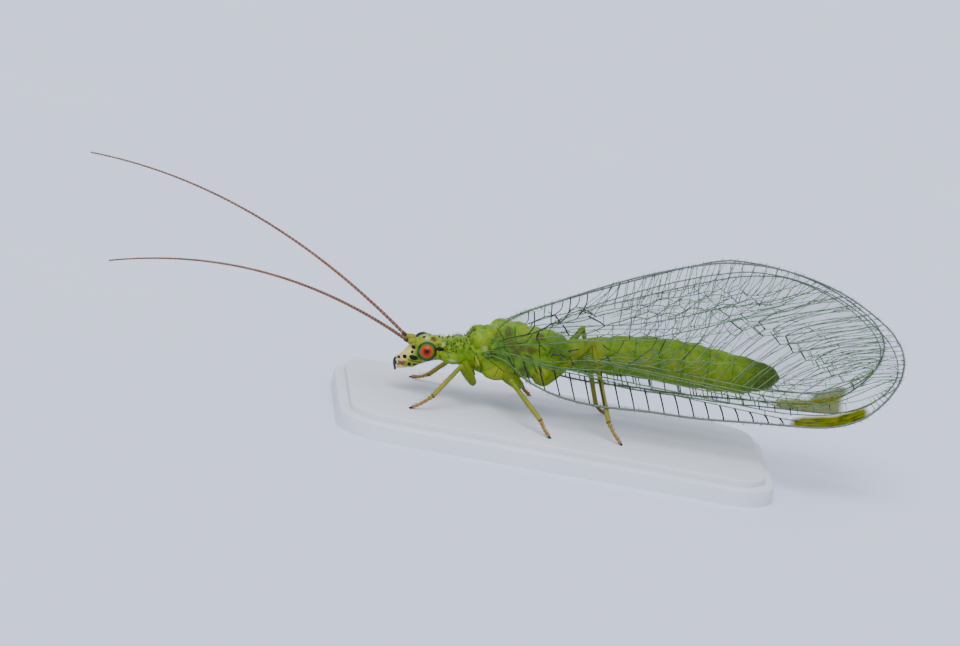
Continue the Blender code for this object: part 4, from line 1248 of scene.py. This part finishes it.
    # Branches of the inner half, up to the long vein behind, with six-sided cells between
    for k in range(-6, 1):
        start = 6.2 + 0.565 * k
        bend = start + 0.78
        foot = start + 1.62
        low = (start, sector(start))
        middle = (bend, -0.10 + (0.05 if k % 2 else -0.05))
        half_way = (low[1] + middle[1]) / 2
        end = float(np.interp(foot, *zip(*CUBITUS)))
        knee = (foot - 0.22, end - 0.42)
        vein((low, ((start + bend) / 2 + 0.12, half_way), middle), 0.017, 0.015, 0.15, 8, True)
        black = 0.9 if k in (-6, -4, -1) else 0.1
        vein((middle, knee, (foot - 0.08, end - 0.20), (foot, end)), 0.017, 0.015, black, 8)
        vein(((start + 0.42, half_way), (start + 0.86, low[1] * 0.62)), 0.015, 0.015, 0.6)
        if k < 0:
            vein((knee, (knee[0] + 0.30, knee[1] - 0.12)), 0.015, 0.015, 0.3)
    return net


membrane, tree, shader = new_material("wing_membrane", Roughness=0.25, Specular_IOR_Level=0.06)
along, inward, spot = (read_attribute(tree, name) for name in ("along", "inward", "spot"))
place = add_node(tree, "ShaderNodeTexCoord").outputs["Object"]
film = noise(tree, place, 900, Detail=2.0, Distortion=1.5)
sheen = colour_ramp(tree, film, ((0.35, (0.075, 0.125, 0.006)), (0.68, (0.125, 0.142, 0.024))))
flat_place = add_node(tree, "ShaderNodeCombineXYZ", {"X": along, "Y": inward}).outputs["Vector"]
drawn_out = add_node(tree, "ShaderNodeMapping", {"Vector": flat_place, "Scale": (2.2, 15.0, 1.0)})
streaks = noise(tree, drawn_out.outputs["Vector"], 1.0, Detail=4.0, Roughness=0.65)
olive = colour_ramp(tree, streaks, ((0.36, (0.022, 0.034, 0.001)), (0.62, (0.140, 0.158, 0.003))))
olive = mix_colours(tree, rescale(tree, spot, 0.97, 0.87), olive, (0.160, 0.152, 0.005, 1))
tint = mix_colours(tree, rescale(tree, spot, 0.10, 0.30), sheen, olive)
tint = mix_colours(tree, rescale(tree, along, 2.4, 0.6), tint, (0.07, 0.20, 0.05, 1))
tree.links.new(tint, shader.inputs["Base Color"])
# The film hides about a tenth of what lies behind it, more at a slant and near the root, and the spot
# hides nearly all of it
slant = add_node(tree, "ShaderNodeLayerWeight", {"Blend": 0.35}).outputs["Facing"]
root_veil = rescale(tree, along, 0.1, 2.2, "SMOOTHSTEP", **{"To Min": 0.14, "To Max": 0.0})
veils = add_node(tree, "ShaderNodeMath", {0: scaled_sum(tree, slant, 0.12, 0.082), 1: root_veil}).outputs[0]
covers = {0: rescale(tree, spot, 0.20, 0.38), 2: veils, 3: spot}
cover = add_node(tree, "ShaderNodeMix", covers, data_type="FLOAT").outputs[0]
tree.links.new(cover, shader.inputs["Alpha"])
add_relief(tree, shader, film, 0.00002, 0.5)

vein_paint = surface_material(
    "wing_vein", ((0.033, 0.095, 0.030), (0.088, 0.180, 0.080)), 5000, 0.9, 30000, 0.3, 0.000004,
    (
        ((0.150, 0.258, 0.130), "paleness", 0.0, 1.0, 0),
        ((0.070, 0.140, 0.014), "root", 0.0, 1.0, 0),
        ((0.004, 0.005, 0.004), "tag", 0.0, 1.0, 0),
        ((0.100, 0.124, 0.106), "grey", 0.0, 1.0, 0),
    ),
    Specular_IOR_Level=0.3,
)

nets = {"forewing": vein_net(False), "hindwing": vein_net(True)}
ALONG_STEPS, ACROSS_STEPS = 170, 70
VEIN_STEP = 0.16
LONG_VEIN = 20  # in steps; longer veins have six sides and shorter ones five
ROOT_THINNING = {"to": 0.62, "over": 2.4}
WING_HAIR = {"radius": 0.0095, "length": (0.06, 0.11), "length on a margin": (0.10, 0.17)}
MARGIN_HAIRS = 20  # a vein with more hairs a millimetre than this is a margin
SPOT_SOFT_END, SPOT_SOFT_TOP = 0.35, 0.12
# Where the green of the veins' root starts and over what it grows, and the same for the margins' grey
GREEN_ROOT = (1.9, -1.6)
GREY_MARGIN = (0.0, 3.2)


def build_membrane(name, wing, word):
    """The film of one wing. Its paint reads how far each point lies along and inward, and the olive spot."""
    side = SIDES[word]
    bm = bmesh.new()
    bmesh.ops.create_grid(bm, x_segments=ALONG_STEPS, y_segments=ACROSS_STEPS, size=1)
    places = []
    for vert in bm.verts:
        s = WING_LENGTH * (1 - cos(pi * (vert.co.x + 1) / 2)) / 2
        front, behind = edge_at(0, s), edge_at(1, s)
        h = front + (behind - front) * (vert.co.y + 1) / 2
        places.append((s, h))
        vert.co = wing_place(wing, side, s, h)
    if side < 0:
        bmesh.ops.reverse_faces(bm, faces=bm.faces)
    piece = finish_piece(f"{name}_{word}_membrane", bm, membrane, "wing_membrane", f"{name}_{word}", sharp=180)
    s, h = np.array(places).T
    moved, lifted = wing["spot moved"]
    spot_top = np.interp(s - moved, *zip(*SPOT)) + lifted
    ends = np.minimum(s - moved - SPOT[0][0] - wing["spot hidden"][word], SPOT[-1][0] + moved - s)
    inside = np.clip(ends / SPOT_SOFT_END + 0.3, 0, 1) * np.clip((spot_top - h) / SPOT_SOFT_TOP + 0.5, 0, 1)
    set_attribute(piece.data, "along", s)
    set_attribute(piece.data, "inward", h - np.interp(s, margins[0][0], margins[0][1]))
    set_attribute(piece.data, "spot", inside * wing["spot strength"][word])


def add_vein(bm, wing, word, corners, first, last, dark, hairs, curved):
    """One vein of a net, laid in the film of its wing, with its hairs."""
    corners = [Vector((*corner, 0)) for corner in corners]
    if curved and len(corners) > 2:
        corners = smooth_path(corners, 5)
    path = [corners[0]]
    for low, high in zip(corners, corners[1:]):
        steps = max(int((high - low).length / VEIN_STEP), 1)
        path += [low.lerp(high, (n + 1) / steps) for n in range(steps)]
    length = sum((high - low).length for low, high in zip(path, path[1:]))
    spots = [wing_place(wing, SIDES[word], point.x, point.y) for point in path]
    fine = wing["vein thickness"][word]
    radii = [(first + (last - first) * n / (len(spots) - 1)) * fine for n in range(len(spots))]
    thin = ROOT_THINNING["to"]
    shares = [min(max(point.x, 0) / ROOT_THINNING["over"], 1) for point in path]
    radii = [wide * (thin + (1 - thin) * share) for wide, share in zip(radii, shares)]
    small = bmesh.new()
    tag = dark * wing["blackness"] if dark > 0 else dark
    add_tube(small, spots, radii, 6 if len(spots) > LONG_VEIN else 5, tag)
    for _ in range(int(length * hairs * wing["hairiness"])):
        n = luck.randrange(len(spots) - 1)
        root = spots[n].lerp(spots[n + 1], luck.random())
        way = (spots[n + 1] - spots[n]).normalized()
        out = across_way(way)
        reach = luck.uniform(*WING_HAIR["length on a margin" if hairs > MARGIN_HAIRS else "length"])
        add_hair(small, root, root + out * reach + way * 0.05, WING_HAIR["radius"], 0.9)
    pour(bm, small)


def build_veins(name, wing, word):
    """All veins of one wing, with the green of its root, its paleness and its grey margins for the paint."""
    bm = bmesh.new()
    for vein in nets[name]:
        add_vein(bm, wing, word, *vein)
    piece = finish_piece(f"{name}_{word}_veins", bm, vein_paint, "wing_membrane", sharp=180)
    from_root = mesh_points(piece.data)[:, 0] - wing["root"][0]
    tags = np.zeros(len(from_root), np.float32)
    piece.data.attributes["tag"].data.foreach_get("value", tags)
    set_attribute(piece.data, "root", fade(from_root, *GREEN_ROOT))
    set_attribute(piece.data, "paleness", np.full(len(from_root), wing["paleness"]))
    set_attribute(piece.data, "grey", np.clip(-tags, 0, 1) * fade(from_root, *GREY_MARGIN))


for word in SIDES:
    for name, wing in WINGS.items():
        build_membrane(name, wing, word)
        build_veins(name, wing, word)
